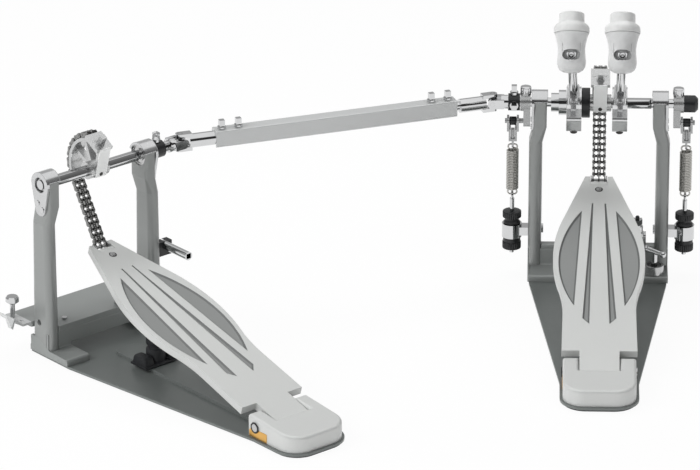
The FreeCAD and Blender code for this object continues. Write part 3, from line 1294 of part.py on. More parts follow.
def springs():
    nodes["spring_anchors"] = group("spring_anchors", sides("spring_bracket", spring_bracket)
                                    + sides("eye_bolt", eye_bolt))
    for side, sign in (("left", -1), ("right", 1)):
        nodes[side + "_hanger"] = group(side + "_hanger", [hanger(side + "_hanger_strap", sign)])
        nodes[side + "_spring"] = group(side + "_spring", [spring(side + "_spring", sign)])
        nodes[side + "_tension_nuts"] = group(side + "_tension_nuts", tension_nuts(side + "_nut", sign))


# Drive shaft between the two joints, built along X from the main joint
def drive_placement():
    """The drive's frame: its X runs from the main joint to the slave joint."""
    turn = FreeCAD.Rotation(Vec(0, 0, 1), 180 + float(S.joint_bend))
    return FreeCAD.Placement(Vec(float(main_joint_x), 0, shaft_z), turn)


def cross(name):
    """The cross of a universal joint: a core with two pins at right angles, Y first and Z second."""
    reach = S.ear_inner + S.ear_thickness
    core = block(name + "_core", S.cross_half * 2, S.cross_half * 2, S.cross_half * 2,
                 (-S.cross_half, -S.cross_half, -S.cross_half))
    flat = rod(name + "_flat_pin", S.cross_pin_radius, reach * 2, (0, -reach, 0), "Y")
    upright = rod(name + "_upright_pin", S.cross_pin_radius, reach * 2, (0, 0, -reach))
    return fuse(name, core, flat, upright)


def drive():
    at = drive_placement()
    span = S.joint_span
    hub_at = S.ear_root + S.yoke_hub_length
    near = yoke("drive_near_yoke", hub_at, 0, "Z")
    far = yoke("drive_far_yoke", span - hub_at, span, "Z")
    near_hub = rod("drive_near_hub", S.yoke_hub_radius, S.drive_hub_length, (hub_at - 1, 0, 0), "X")
    far_hub = rod("drive_far_hub", S.yoke_hub_radius, S.drive_hub_length,
                  (span - hub_at - S.drive_hub_length + 1, 0, 0), "X")
    inside = 40
    near_rod = rod("drive_near_rod", S.drive_rod_radius, S.channel_start + inside - hub_at, (hub_at, 0, 0), "X")
    far_rod = rod("drive_far_rod", S.drive_rod_radius, span - hub_at - channel_end + inside,
                  (channel_end - inside, 0, 0), "X")
    nodes["drive_rods"] = group("drive_rods", [fuse("drive_near", near, near_hub, near_rod),
                                               fuse("drive_far", far, far_hub, far_rod)], at)
    half = S.channel_width / 2
    top = S.channel_height / 2
    core = S.drive_rod_radius
    tube = plate("channel_profile", "YZ_Plane",
                 [rounded([(-half, -top, 2.5), (half, -top, 2.5), (half, top, 1.5), (-half, top, 1.5)])],
                 S.channel_start, channel_end - S.channel_start)
    groove = block("channel_groove", channel_end - S.channel_start + 2, half * 2 - S.channel_wall * 2,
                   top * 2 - S.channel_wall, (S.channel_start - 1, -half + S.channel_wall, -top - 1))
    seats = []
    for name, start in (("channel_near_seat", S.channel_start), ("channel_far_seat", channel_end - inside)):
        seats.append(block(name, inside, half * 2 - S.channel_wall, top + core + 1,
                           (start, -half + S.channel_wall / 2, -core - 1)))
    bore = rod("channel_bore", core, channel_end - S.channel_start + 2, (S.channel_start - 1, 0, 0), "X")
    shell = cut("channel_shell", tube, groove)
    nodes["drive_channel"] = group("drive_channel",
                                   [cut("drive_channel_shape", fuse("channel_solid", shell, *seats), bore)], at)
    places = []
    for end, sign in ((S.channel_start, 1), (channel_end, -1)):
        for step in (S.key_bolt_inset, S.key_bolt_inset + S.key_bolt_pitch):
            places.append(end + step * sign)
    nodes["drive_bolts"] = group("drive_bolts", [key_bolt("drive_bolt_%d" % i, (x, 0, top))
                                                 for i, x in enumerate(places)], at)
    nodes["main_cross"] = group("main_cross", [cross("main_cross_shape")],
                                FreeCAD.Placement(Vec(float(main_joint_x), 0, shaft_z), FreeCAD.Rotation()))
    nodes["slave_cross"] = group("slave_cross", [cross("slave_cross_shape")], SLAVE.multiply(
        FreeCAD.Placement(Vec(float(slave_joint_x), 0, shaft_z), FreeCAD.Rotation())))


# Clamped pieces on the shafts
def shaft_stack():
    x = S.right_beater_x
    z = S.shaft_height
    right_bore = hexagon("right_hub_hexagon", hex_radius, S.hub_width + 2, (-S.hub_width / 2 - 1, 0, 0))
    left_bore = rod("left_hub_bore", S.sleeve_radius, S.hub_width + 2, (-S.hub_width / 2 - 1, 0, 0), "X")
    nodes["right_beater_hub"] = group("right_beater_hub", [beater_hub("right_hub", x, 0, right_bore)])
    nodes["left_beater_hub"] = group("left_beater_hub", [beater_hub("left_hub", S.left_beater_x, S.left_splay,
                                                                    left_bore)])
    beater_parts("right_beater", x, 0)
    beater_parts("left_beater", S.left_beater_x, S.left_splay)
    nodes["right_rocker"] = group("right_rocker", [rocker("right_rocker_shape", right_rocker_start, 1)])
    nodes["left_rocker"] = group("left_rocker", [rocker("left_rocker_shape", left_rocker_start, -1)])
    spacer = ring_on_shaft("shaft_spacer", S.spacer_left, S.spacer_right - S.spacer_left, S.spacer_radius,
                           S.journal_radius)
    nodes["shaft_caps"] = group("shaft_caps", [spacer, end_cap()])
    nodes["sleeve_collar"] = group("sleeve_collar", [ring_on_shaft(
        "sleeve_collar", collar_start, S.collar_width, S.collar_radius, S.journal_radius)])
    collar = ring_on_shaft("slave_collar", cap_outer + S.collar_gap, S.collar_width, S.collar_radius,
                           S.journal_radius)
    nodes["slave_collar"] = group("slave_collar", [collar], SLAVE)
    collar_middle = collar_start + S.collar_width / 2
    nodes["sleeve_bolts"] = group("sleeve_bolts", [
        key_bolt("sleeve_bolt_top", (collar_middle, 0, z + S.collar_radius)),
        key_bolt("sleeve_bolt_front", (collar_middle, -S.collar_radius, z), "-Y")])


# Hoop clamp of the main pedal
def hoop_clamp():
    """A jaw on a pivot over the wall, its adjusting bolt, its lugs and the cup of the wing bolt."""
    x = S.frame_half_width - S.jaw_inset
    y = S.jaw_pivot_y
    z = bar_top + S.jaw_pivot_rise
    arm = plate("jaw_arm", "YZ_Plane",
                [rounded([(S.jaw_front, z - 4, 2), (S.jaw_front, z + 2, 2), (y, z + 5, 6),
                          (S.jaw_rear, z + 1, 2), (S.jaw_rear, z - 6, 2), (S.jaw_rear - 8, z - 6, 2),
                          (y, z - 5, 4)]), circle(y, z, S.jaw_pin_radius + S.running_gap)], x, S.jaw_width)
    bolt_x = x + S.jaw_width / 2
    bolt_y = S.jaw_front + S.jaw_bolt_head
    stem = rod("jaw_stem", S.jaw_bolt_radius, S.jaw_bolt_rise, (bolt_x, bolt_y, z - 2))
    head = hexagon("jaw_bolt", S.jaw_bolt_head, S.jaw_bolt_head, (bolt_x, bolt_y, z - 2 + S.jaw_bolt_rise), "Z")
    nodes["hoop_jaw"] = group("hoop_jaw", [fuse("hoop_jaw_shape", arm, stem, head)])
    gap = S.running_gap * 5
    lugs = []
    for name, start in (("jaw_lug_left", x - S.lug_width - gap), ("jaw_lug_right", x + S.jaw_width + gap)):
        lugs.append(plate(name, "YZ_Plane",
                          [rounded([(y - S.lug_half, bar_top, 0), (y + S.lug_half, bar_top, 0),
                                    (y + S.lug_half, z + S.lug_half, 4), (y - S.lug_half, z + S.lug_half, 4)]),
                           circle(y, z, S.jaw_pin_radius)], start, S.lug_width))
    pin = rod("jaw_pin", S.jaw_pin_radius, S.jaw_width + (S.lug_width + gap) * 2,
              (x - S.lug_width - gap, y, z), "X")
    nodes["clamp_lugs"] = group("clamp_lugs", lugs + [pin, wing_cup()])


def wing_cup():
    """The chrome cup on the ledge that the wing bolt stands in."""
    foot = S.ledge_height
    floor = S.cup_wall
    stem = S.wing_stem_radius + S.running_gap
    outline = path([(stem, 0), (S.cup_radius - 1, 0), (S.cup_radius, 1), (S.cup_radius, S.cup_height),
                    (S.cup_radius - S.cup_wall, S.cup_height), (S.cup_radius - S.cup_wall, floor),
                    (stem, floor)])
    return turned("wing_cup", outline, (S.frame_half_width - S.wing_inset, S.wing_y, foot))


def wing_bolt():
    """The T-handled bolt that closes the hoop clamp."""
    x = S.frame_half_width - S.wing_inset
    shank = rod("wing_shank", S.wing_stem_radius, S.wing_height, (0, 0, 0.3))
    bar = rod("wing_bar", S.wing_radius, S.wing_half * 2, (-S.wing_half, 0, S.wing_height), "X")
    tips = [ball("wing_tip_%d" % side, S.wing_tip_radius, (S.wing_half * side, 0, S.wing_height), "X")
            for side in (-1, 1)]
    turn = FreeCAD.Rotation(Vec(0, 0, 1), float(S.wing_yaw))
    at = FreeCAD.Placement(Vec(float(x), float(S.wing_y), float(S.ledge_height)), turn)
    nodes["wing_bolt"] = group("wing_bolt", [fuse("wing_bolt_shape", shank, bar, *tips)], at)


# Outrigger, spurs, drum key and bumpers
def outrigger():
    """The bent strip at the side of the slave's stand, with its thumb screw and a small hole."""
    edge = -S.frame_half_width
    top = stand_top
    sheet_gap = S.outrigger_sheet
    peak = top + S.outrigger_rise
    tip = edge - S.outrigger_reach
    strip = plate("outrigger_strip", "XZ_Plane",
                  [path([(edge, top - sheet_gap), (edge, top), (edge - S.outrigger_flat, top),
                         (edge - S.outrigger_peak, peak), (tip, top), (tip + sheet_gap, top - sheet_gap),
                         (edge - S.outrigger_peak, peak - sheet_gap * 2),
                         (edge - S.outrigger_flat, top - sheet_gap)])],
                  -S.stand_rear, S.stand_rear - S.stand_clear)
    corner = plate("outrigger_corner", "XY_Plane",
                   [path([(tip - 1, S.stand_rear + 1), (tip - 1, S.stand_clear),
                          (tip, S.stand_clear), (tip + S.outrigger_slant, S.stand_rear + 1)])],
                   0, peak + 1)
    hole = rod("outrigger_hole", S.outrigger_hole_radius, S.outrigger_sheet * 3,
               (edge - S.outrigger_hole_x, S.outrigger_hole_y, top - S.outrigger_sheet * 2))
    stem_x = edge - S.spur_x
    seat = rod("outrigger_seat", S.spur_radius + S.running_gap, S.outrigger_sheet * 3,
               (stem_x, S.spur_y, top - S.outrigger_sheet * 2))
    nodes["outrigger"] = group("outrigger", [cut("outrigger_shape", strip, corner, hole, seat)], SLAVE)
    foot = top - S.spur_tip
    point = cone("spur_point", S.spur_radius * 0.4, S.spur_radius, S.spur_radius, (stem_x, S.spur_y, foot))
    shank = rod("spur_shank", S.spur_radius, S.spur_tip + S.spur_stem - S.spur_radius,
                (stem_x, S.spur_y, foot + S.spur_radius))
    knob = turned("spur_knob", path([
        (0, 0), (S.spur_head_radius * 0.6, 0), (S.spur_head_radius, S.spur_head_height * 0.3),
        (S.spur_head_radius, S.spur_head_height * 0.8), (S.spur_head_radius * 0.8, S.spur_head_height),
        (0, S.spur_head_height)]), (stem_x, S.spur_y, top + S.spur_stem))
    nodes["outrigger_spur"] = group("outrigger_spur", [fuse("outrigger_spur_shape", point, shank, knob)], SLAVE)


def drum_key():
    """A chrome key tube in a black clip on the slave's right post."""
    face = S.frame_half_width
    z = S.key_height
    x = face + S.key_radius + 5
    tube = rod("key_tube", S.key_radius, S.key_length, (x, S.key_start, z), "Y")
    socket = block("key_socket", S.key_head, 12, S.key_head,
                   (x - S.key_head / 2, S.key_start - 1, z - S.key_head / 2))
    nodes["drum_key"] = group("drum_key", [cut("drum_key_shape", tube, socket)], SLAVE)
    depth = S.key_clip_depth
    near = -depth / 2
    clip = block("key_clip_block", S.key_radius * 2 + 8, depth, S.key_radius * 2 + 6,
                 (face, near - depth / 2, z - S.key_radius - 6))
    hole = rod("key_clip_hole", S.key_radius + S.running_gap, depth + 2, (x, near - depth / 2 - 1, z), "Y")
    nodes["key_clip"] = group("key_clip", [cut("key_clip_shape", clip, hole)], SLAVE)


def bumper():
    """The rubber bumper that stands on the base plate under the footboard."""
    half = S.bumper_length / 2
    near = S.bumper_y - S.bumper_depth / 2
    far = S.bumper_y + S.bumper_depth / 2
    base = plate("bumper_foot", "XY_Plane",
                 [rounded([(-half, near, 5), (half, near, 5), (half, far, 5), (-half, far, 5)])],
                 plate_top + S.rib_height, S.bumper_base)
    foot = plate_top + S.rib_height + S.bumper_base
    height = S.bumper_top - foot
    radius = S.bumper_radius
    outline = path([(0, 0), (radius, 0), (radius, height * 0.45), (radius - 2, height * 0.5),
                    (radius - 2, height * 0.62), (radius, height * 0.67), (radius, height - 3),
                    (radius - 3, height), (0, height)])
    post_part = turned("bumper_post", outline, (0, S.bumper_y, foot))
    both("bumpers", [fuse("bumper", base, post_part)])


def frame_screws():
    """Screw heads on both pedals' caps, the main one's bracket bolts and the screws of the slave's stand."""
    z = S.shaft_height - S.cap_drop
    shared = []
    bracket_bolts = []
    stand_screws = []
    for sign, label in ((-1, "left"), (1, "right")):
        x = cap_outer if sign > 0 else -cap_outer - S.cap_screw_height
        for i, y in enumerate((-S.cap_screw_offset, S.cap_screw_offset)):
            shared.append(rod("cap_screw_%s_%d" % (label, i), S.screw_radius, S.cap_screw_height,
                              (x, y, z + S.screw_radius * 2 * i), "X"))
        stand_screws.append(rod("stand_screw_%s" % label, S.screw_radius, S.screw_height,
                                (S.stand_screw_x * sign, S.stand_screw_y, stand_top)))
        bracket_bolts.append(hexagon("bracket_bolt_%s" % label, S.bracket_bolt_radius, S.screw_height,
                                     (post_inner - S.screw_height if sign > 0 else -post_inner, 0,
                                      S.bracket_foot + S.bracket_height / 2)))
    copies = group("frame_screws_slave", shared + stand_screws + [stand_spur()], SLAVE)
    nodes["frame_screws"] = group("frame_screws", shared + bracket_bolts + [copies])


def stand_spur():
    """The tall screw that stands on the slave's stand."""
    radius = S.stand_spur_radius
    at = (S.stand_spur_x, S.stand_spur_y)
    shank = rod("stand_spur_shank", radius, S.stand_spur_height, at + (stand_top,))
    head = rod("stand_spur_head", radius * 1.75, S.stand_spur_height / 3,
               at + (stand_top + S.stand_spur_height,))
    return fuse("stand_spur", shank, head)


def build():
    base_plate()
    base_pads()
    posts = sides("post", post)
    frame_casting(posts)
    both("posts", posts)
    both("bearing_caps", sides("bearing_cap", bearing_cap))
    both("ball_bearings", sides("bearing", bearing))
    heel_plate()
    heel_hinge()
    footboards()
    last = chains()
    sprocket(last)
    main_shaft()
    slave_shaft()
    sleeve()
    shaft_stack()
    springs()
    drive()
    hoop_clamp()
    wing_bolt()
    outrigger()
    drum_key()
    bumper()
    frame_screws()


def check_and_write():
    """Stop on any failed object or shape, then write one file for each node."""
    doc.recompute()
    for thing in doc.Objects:
        if "Invalid" in thing.State or "Error" in thing.State:
            raise RuntimeError("failed: %s %s" % (thing.Name, thing.State))
    for name, thing in nodes.items():
        if thing.Shape.isNull() or not thing.Shape.isValid():
            raise RuntimeError("no valid shape: " + name)
    for name, thing in nodes.items():
        thing.Label = name
        thing.Shape.exportStep("parts/%s.step" % name)
    print(len(nodes), "nodes written")


build()
check_and_write()
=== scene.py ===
"""Looks of the double bass drum pedal: finishes, chains, springs, nuts, beater heads and small trim."""
import json
import math

import bpy
from mathutils import Matrix, Vector


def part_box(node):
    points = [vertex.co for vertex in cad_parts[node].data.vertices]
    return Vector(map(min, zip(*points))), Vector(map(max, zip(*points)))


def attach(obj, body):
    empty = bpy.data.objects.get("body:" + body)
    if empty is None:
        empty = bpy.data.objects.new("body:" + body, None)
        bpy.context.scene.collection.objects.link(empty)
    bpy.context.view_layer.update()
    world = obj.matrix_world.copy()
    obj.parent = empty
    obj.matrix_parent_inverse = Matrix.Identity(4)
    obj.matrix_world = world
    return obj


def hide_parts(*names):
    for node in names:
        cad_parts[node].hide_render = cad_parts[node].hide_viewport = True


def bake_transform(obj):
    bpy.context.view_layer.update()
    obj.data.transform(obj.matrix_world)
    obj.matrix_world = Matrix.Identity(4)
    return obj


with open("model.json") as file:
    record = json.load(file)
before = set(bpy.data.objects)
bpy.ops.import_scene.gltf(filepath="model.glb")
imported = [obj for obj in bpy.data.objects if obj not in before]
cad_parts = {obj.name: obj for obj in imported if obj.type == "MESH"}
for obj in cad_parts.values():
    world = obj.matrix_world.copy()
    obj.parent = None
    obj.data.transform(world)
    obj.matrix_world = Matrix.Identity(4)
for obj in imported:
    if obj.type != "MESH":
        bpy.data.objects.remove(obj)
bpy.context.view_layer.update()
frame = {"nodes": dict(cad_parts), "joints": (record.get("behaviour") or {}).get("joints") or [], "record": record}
joints = {joint["name"]: joint for joint in frame["joints"]}
MM = 0.001
PEDALS = ("main", "slave")
SIDES = ("left", "right")
AXLES = {"left": "sleeve_axle", "right": "main_axle"}
SHAFT_LEVEL = joints["main_shaft"]["pos_m"][2]
AXIS_TURNS = {"X": (0, math.pi / 2, 0), "Y": (math.pi / 2, 0, 0), "Z": (0, 0, 0)}
WELD = 0.002 * MM
MIDLINE = 0.1 * MM
SQUARE_ON = 0.9


# Edit-mode helpers
def deselect_all():
    if bpy.context.object and bpy.context.object.mode != "OBJECT":
        bpy.ops.object.mode_set(mode="OBJECT")
    bpy.ops.object.select_all(action="DESELECT")


def pick(piece):
    """Leaves one piece selected and active."""
    deselect_all()
    piece.select_set(True)
    bpy.context.view_layer.objects.active = piece


def start_piece(name):
    """Names the primitive that was just added and settles its place in its mesh."""
    piece = bpy.context.object
    piece.name = name
    piece.data.name = name
    bpy.ops.object.transform_apply(location=True, rotation=True, scale=True)
    return piece


def cylinder(name, radius, depth, centre, axis="Z", sides=24):
    deselect_all()
    bpy.ops.mesh.primitive_cylinder_add(vertices=sides, radius=radius, depth=depth, location=centre,
                                        rotation=AXIS_TURNS[axis])
    return start_piece(name)


def cube(name, size, centre):
    deselect_all()
    bpy.ops.mesh.primitive_cube_add(size=1, location=centre, scale=size)
    return start_piece(name)


def torus(name, radius, wire, segments, sides, centre, axis):
    deselect_all()
    bpy.ops.mesh.primitive_torus_add(major_radius=radius, minor_radius=wire, major_segments=segments,
                                     minor_segments=sides, location=centre, rotation=AXIS_TURNS[axis])
    return start_piece(name)


def edit_selected(piece, kind, test=lambda item: True):
    """Opens a piece in edit mode with only the elements that pass a test selected."""
    pick(piece)
    bpy.ops.object.mode_set(mode="EDIT")
    bpy.ops.mesh.select_mode(type=kind)
    bpy.ops.mesh.select_all(action="DESELECT")
    bpy.ops.object.mode_set(mode="OBJECT")
    mesh = piece.data
    items = {"VERT": mesh.vertices, "EDGE": mesh.edges, "FACE": mesh.polygons}[kind]
    for item in items:
        item.select = bool(test(item))
    bpy.ops.object.mode_set(mode="EDIT")


def leave_edit():
    bpy.ops.object.mode_set(mode="OBJECT")


def draw_out(piece, reach):
    """Moves the two halves of a form apart along X."""
    for side in (-1, 1):
        edit_selected(piece, "VERT", lambda corner: corner.co.x * side > MIDLINE)
        bpy.ops.transform.translate(value=(reach * side, 0, 0))
        leave_edit()


def use_modifier(piece, kind, **settings):
    """Adds a modifier with its settings and applies it."""
    pick(piece)
    modifier = piece.modifiers.new(kind.lower(), kind)
    for key, value in settings.items():
        setattr(modifier, key, value)
    bpy.ops.object.modifier_apply(modifier=modifier.name)


def round_edges(piece, width, segments=2, angle=35):
    use_modifier(piece, "BEVEL", width=width, segments=segments, limit_method="ANGLE",
                 angle_limit=math.radians(angle))


def smooth(piece, angle=40):
    pick(piece)
    bpy.ops.object.shade_smooth_by_angle(angle=math.radians(angle))


def cut_away(piece, cutter):
    """Takes one piece's form out of another."""
    use_modifier(piece, "BOOLEAN", object=cutter, operation="DIFFERENCE", solver="EXACT")
    discard(cutter)


def copy_of(piece, matrix):
    """A copy with its own mesh, moved by a matrix that is settled in the mesh."""
    twin = piece.copy()
    twin.data = piece.data.copy()
    bpy.context.collection.objects.link(twin)
    twin.data.transform(matrix)
    return twin


def join(name, pieces):
    deselect_all()
    for piece in pieces:
        piece.select_set(True)
    bpy.context.view_layer.objects.active = pieces[0]
    bpy.ops.object.join()
    whole = bpy.context.object
    whole.name = name
    whole.data.name = name
    return whole


def discard(*pieces):
    for piece in pieces:
        bpy.data.objects.remove(piece, do_unlink=True)


def paint(piece, *finishes):
    """Gives a piece these finishes in place of any it has."""
    piece.data.materials.clear()
    for name in finishes:
        piece.data.materials.append(FINISHES[name])


def dress(piece, body, slot, finish, *nodes):
    """Settles a finished piece: its finish, the body it rides on and the nodes it stands for."""
    if finish:
        paint(piece, finish)
    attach(piece, body)
    if nodes:
        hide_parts(*nodes)


def sheet_from_node(name, node, keep):
    """A thin sheet cut from a copy of a CAD node's faces, those that pass a test."""
    mesh = frame["nodes"][node].data.copy()
    piece = bpy.data.objects.new(name, mesh)
    piece.data.materials.clear()
    bpy.context.collection.objects.link(piece)
    edit_selected(piece, "VERT")
    bpy.ops.mesh.remove_doubles(threshold=WELD)
    leave_edit()
    edit_selected(piece, "FACE", lambda face: not keep(face))
    bpy.ops.mesh.delete(type="FACE")
    leave_edit()
    return piece


def turned(name, profile, sides=48):
    """A round form on Z, drawn up ring by ring from (radius, height) pairs in millimetres."""
    rings = [(radius * MM, height * MM) for radius, height in profile]
    radius, height = rings[0]
    deselect_all()
    bpy.ops.mesh.primitive_circle_add(vertices=sides, radius=radius, fill_type="NGON",
                                      location=(0, 0, height))
    piece = start_piece(name)
    bpy.ops.object.mode_set(mode="EDIT")
    bpy.ops.mesh.select_mode(type="FACE")
    bpy.ops.mesh.select_all(action="SELECT")
    for next_radius, next_height in rings[1:]:
        bpy.ops.mesh.extrude_region_move(TRANSFORM_OT_translate={"value": (0, 0, next_height - height)})
        bpy.ops.transform.resize(value=(next_radius / radius, next_radius / radius, 1))
        radius, height = next_radius, next_height
    bpy.ops.mesh.select_all(action="SELECT")
    bpy.ops.mesh.normals_make_consistent(inside=False)
    leave_edit()
    return piece


RIB_FLOOR = 0.94
RIB_EASE = 0.05
RIB_CREASE = 62


def ribbed(name, radius, height, foot, ribs):
    """An upright drum in millimetres, its side cut into fine ribs and its rims eased."""
    centre = (0, 0, (foot + height / 2) * MM)
    drum = cylinder(name, radius * MM, height * MM, centre, "Z", ribs * 2)
    step = math.pi / ribs
    edit_selected(drum, "VERT", lambda corner: round(math.atan2(corner.co.y, corner.co.x) / step) % 2)
    bpy.ops.transform.resize(value=(RIB_FLOOR, RIB_FLOOR, 1), center_override=(0, 0, 0))
    leave_edit()
    round_edges(drum, radius * RIB_EASE * MM, angle=RIB_CREASE)
    return drum


# Places
def shift(x, y, z):
    return Matrix.Translation((x, y, z))


def turn(degrees, axis):
    return Matrix.Rotation(math.radians(degrees), 4, axis)


def pedal_place(pedal):
    """Turns the main pedal's frame into the place of one of the two pedals."""
    shaft = joints[pedal + "_shaft"]
    yaw = math.atan2(shaft["axis"][1], shaft["axis"][0])
    return shift(shaft["pos_m"][0], shaft["pos_m"][1], 0) @ Matrix.Rotation(yaw, 4, "Z")


# Shader nodes
NOISE_SPAN = (0.3, 0.7)
BEVEL_SAMPLES = 6


def map_range(tree, source, start, end, to_start=0.0, to_end=1.0, kind="LINEAR"):
    """Carries a value over from one span to another."""
    node = tree.nodes.new("ShaderNodeMapRange")
    node.interpolation_type = kind
    node.inputs["From Min"].default_value = start
    node.inputs["From Max"].default_value = end
    node.inputs["To Min"].default_value = to_start
    node.inputs["To Max"].default_value = to_end
    tree.links.new(source, node.inputs["Value"])
    return node.outputs["Result"]


def combine(tree, operation, first, second):
    """A math node on two values."""
    node = tree.nodes.new("ShaderNodeMath")
    node.operation = operation
    tree.links.new(first, node.inputs[0])
    tree.links.new(second, node.inputs[1])
    return node.outputs["Value"]


def new_finish(name, colour, metallic, roughness, **sockets):
    """A new material with its even values set on the shader's own sockets."""
    material = bpy.data.materials.new(name)
    material.use_nodes = True
    shader = material.node_tree.nodes["Principled BSDF"]
    shader.inputs["Base Color"].default_value = (*colour, 1)
    shader.inputs["Metallic"].default_value = metallic
    shader.inputs["Roughness"].default_value = roughness
    for socket, value in sockets.items():
        shader.inputs[socket.replace("_", " ")].default_value = value
    return material


def grain(material, scale, detail=3.0):
    """A noise on the piece's own coordinates."""
    nodes = material.node_tree.nodes
    place = nodes.new("ShaderNodeTexCoord")
    noise = nodes.new("ShaderNodeTexNoise")
    noise.inputs["Scale"].default_value = scale
    noise.inputs["Detail"].default_value = detail
    material.node_tree.links.new(place.outputs["Object"], noise.inputs["Vector"])
    return noise


def vary_colour(material, noise, colour, darker, lighter):
    """Lets the colour wander between two near shades."""
    tree = material.node_tree
    ramp = tree.nodes.new("ShaderNodeValToRGB")
    for element, position, change in zip(ramp.color_ramp.elements, NOISE_SPAN, (darker, lighter)):
        element.position = position
        element.color = (*(min(1.0, part * change) for part in colour), 1)
    tree.links.new(noise.outputs["Fac"], ramp.inputs["Fac"])
    tree.links.new(ramp.outputs["Color"], tree.nodes["Principled BSDF"].inputs["Base Color"])


def vary_gloss(material, noise, low, high):
    """Lets the roughness wander between two values."""
    tree = material.node_tree
    gloss = map_range(tree, noise.outputs["Fac"], *NOISE_SPAN, low, high)
    tree.links.new(gloss, tree.nodes["Principled BSDF"].inputs["Roughness"])


def relief(material, noise, strength, depth, edge):
    """A fine bump, on flat-sided pieces over edges that are softened by a small radius."""
    nodes, links = material.node_tree.nodes, material.node_tree.links
    bump = nodes.new("ShaderNodeBump")
    bump.inputs["Strength"].default_value = strength
    bump.inputs["Distance"].default_value = depth
    links.new(noise.outputs["Fac"], bump.inputs["Height"])
    if edge:
        soft_edge = nodes.new("ShaderNodeBevel")
        soft_edge.samples = BEVEL_SAMPLES
        soft_edge.inputs["Radius"].default_value = edge
        links.new(soft_edge.outputs["Normal"], bump.inputs["Normal"])
    links.new(bump.outputs["Normal"], nodes["Principled BSDF"].inputs["Normal"])


# Finishes
def metal_paint(name, colour, roughness, edge):
    """Sprayed silver paint with fine metal flake under a thin clear coat."""
    material = new_finish(name, colour, metallic=0.25, roughness=roughness, Coat_Weight=0.1,
                          Coat_Roughness=0.2)
    flake = grain(material, scale=2600, detail=2)
    vary_colour(material, flake, colour, darker=0.96, lighter=1.04)
    vary_gloss(material, grain(material, scale=60), low=roughness - 0.02, high=roughness + 0.02)
    relief(material, flake, strength=0.04, depth=0.04 * MM, edge=edge)
    return material


def plated(name, colour, low, high, edge, metallic):
    """Plated steel: bright, with faint polishing haze."""
    material = new_finish(name, colour, metallic, roughness=low)
    haze = grain(material, scale=180, detail=4)
    vary_gloss(material, haze, low, high)
    vary_colour(material, grain(material, scale=40), colour, darker=0.95, lighter=1.03)
    relief(material, haze, strength=0.02, depth=0.03 * MM, edge=edge)
    return material


def moulded(name, colour, roughness, grain_scale, coat):
    """Moulded plastic or rubber with a fine grain."""
    material = new_finish(name, colour, metallic=0.0, roughness=roughness, Coat_Weight=coat)
    skin = grain(material, grain_scale)
    vary_colour(material, grain(material, scale=90), colour, darker=0.92, lighter=1.08)
    vary_gloss(material, skin, low=roughness - 0.06, high=roughness + 0.08)
    relief(material, skin, strength=0.04, depth=0.04 * MM, edge=0)
    return material


# Paints: colour, roughness and the radius that softens their edges
PAINTS = {
    "base_paint": ((0.17, 0.184, 0.179), 0.34, 0.6 * MM),
    "casting_paint": ((0.28, 0.294, 0.288), 0.32, 0.7 * MM),
    "post_paint": ((0.275, 0.285, 0.28), 0.34, 0.6 * MM),
    "board_paint": ((0.57, 0.58, 0.57), 0.42, 0.8 * MM),
    "heel_paint": ((0.60, 0.61, 0.60), 0.42, 0.8 * MM),
    "pocket_paint": ((0.24, 0.248, 0.244), 0.38, 0.4 * MM),
    # The pocket rim is painted shade: darker on the sloping walls of the leaf pockets
    "painted_rim_shade": ((0.15, 0.156, 0.154), 0.4, 0.3 * MM),
    "channel_silver": ((0.56, 0.57, 0.57), 0.3, 0.5 * MM),
}
# Platings: colour, least and most roughness, edge radius and how metallic they are
PLATINGS = {
    "bright_chrome": ((0.66, 0.665, 0.67), 0.05, 0.11, 0, 1),
    "cap_chrome": ((0.62, 0.625, 0.63), 0.1, 0.16, 1.2 * MM, 0.9),
    "shaft_chrome": ((0.66, 0.665, 0.67), 0.05, 0.1, 0, 1),
    "satin_chrome": ((0.74, 0.745, 0.75), 0.14, 0.2, 0, 0.85),
    "satin_plate": ((0.56, 0.565, 0.565), 0.18, 0.26, 0, 0.8),
    "plate_paint": ((0.86, 0.87, 0.865), 0.28, 0.36, 0, 0.2),
    "satin_steel": ((0.42, 0.425, 0.425), 0.24, 0.32, 0, 0.7),
    "spring_wire": ((0.62, 0.61, 0.58), 0.22, 0.3, 0, 1),
    "bearing_steel": ((0.55, 0.55, 0.55), 0.2, 0.3, 0, 1),
    "chain_steel": ((0.28, 0.28, 0.275), 0.16, 0.26, 0, 1),
    # Near-black: painted shade on the chain bushes between the plates, the hole on each sprocket front and the toe
    # screws' seats; also the dark clamp screw ends under the hubs
    "dark_steel_and_painted_shade": ((0.06, 0.058, 0.056), 0.25, 0.35, 0, 1),
    "gold_plate": ((0.80, 0.47, 0.14), 0.3, 0.4, 0.3 * MM, 1),
}
# Mouldings: colour, roughness, scale of the grain and clear coat
MOULDINGS = {
    "pad_rubber": ((0.016, 0.017, 0.019), 0.5, 900, 0),
    "black_plastic": ((0.010, 0.011, 0.012), 0.38, 700, 0),
    "beater_grey": ((0.61, 0.615, 0.615), 0.32, 500, 0.25),
    "beater_pad": ((0.66, 0.665, 0.66), 0.42, 500, 0),
}
FINISHES = {name: metal_paint(name, *values) for name, values in PAINTS.items()}
FINISHES.update({name: plated(name, *values) for name, values in PLATINGS.items()})
FINISHES.update({name: moulded(name, *values) for name, values in MOULDINGS.items()})


# Finishes of the CAD nodes that differ from their material slot
NODE_FINISHES = {
    "frame_castings": "casting_paint", "heel_plates": "heel_paint", "bearing_caps": "cap_chrome",
    "main_sprocket": "satin_plate", "slave_sprocket": "satin_plate",
    "right_beater_hub": "satin_chrome", "left_beater_hub": "satin_chrome",
    "right_rocker": "satin_steel", "left_rocker": "satin_steel",
    "right_hanger": "satin_steel", "left_hanger": "satin_steel",
    "main_toe_clip": "satin_steel", "slave_toe_clip": "satin_steel", "clamp_lugs": "satin_plate",
}


def dress_nodes():
    """Every CAD node takes its own finish, or else that of its material slot."""
    slots = {row["node"]: row["material_slot"] for row in frame["record"]["subparts"]}
    for name, node in frame["nodes"].items():
        paint(node, NODE_FINISHES.get(name, slots[name]))


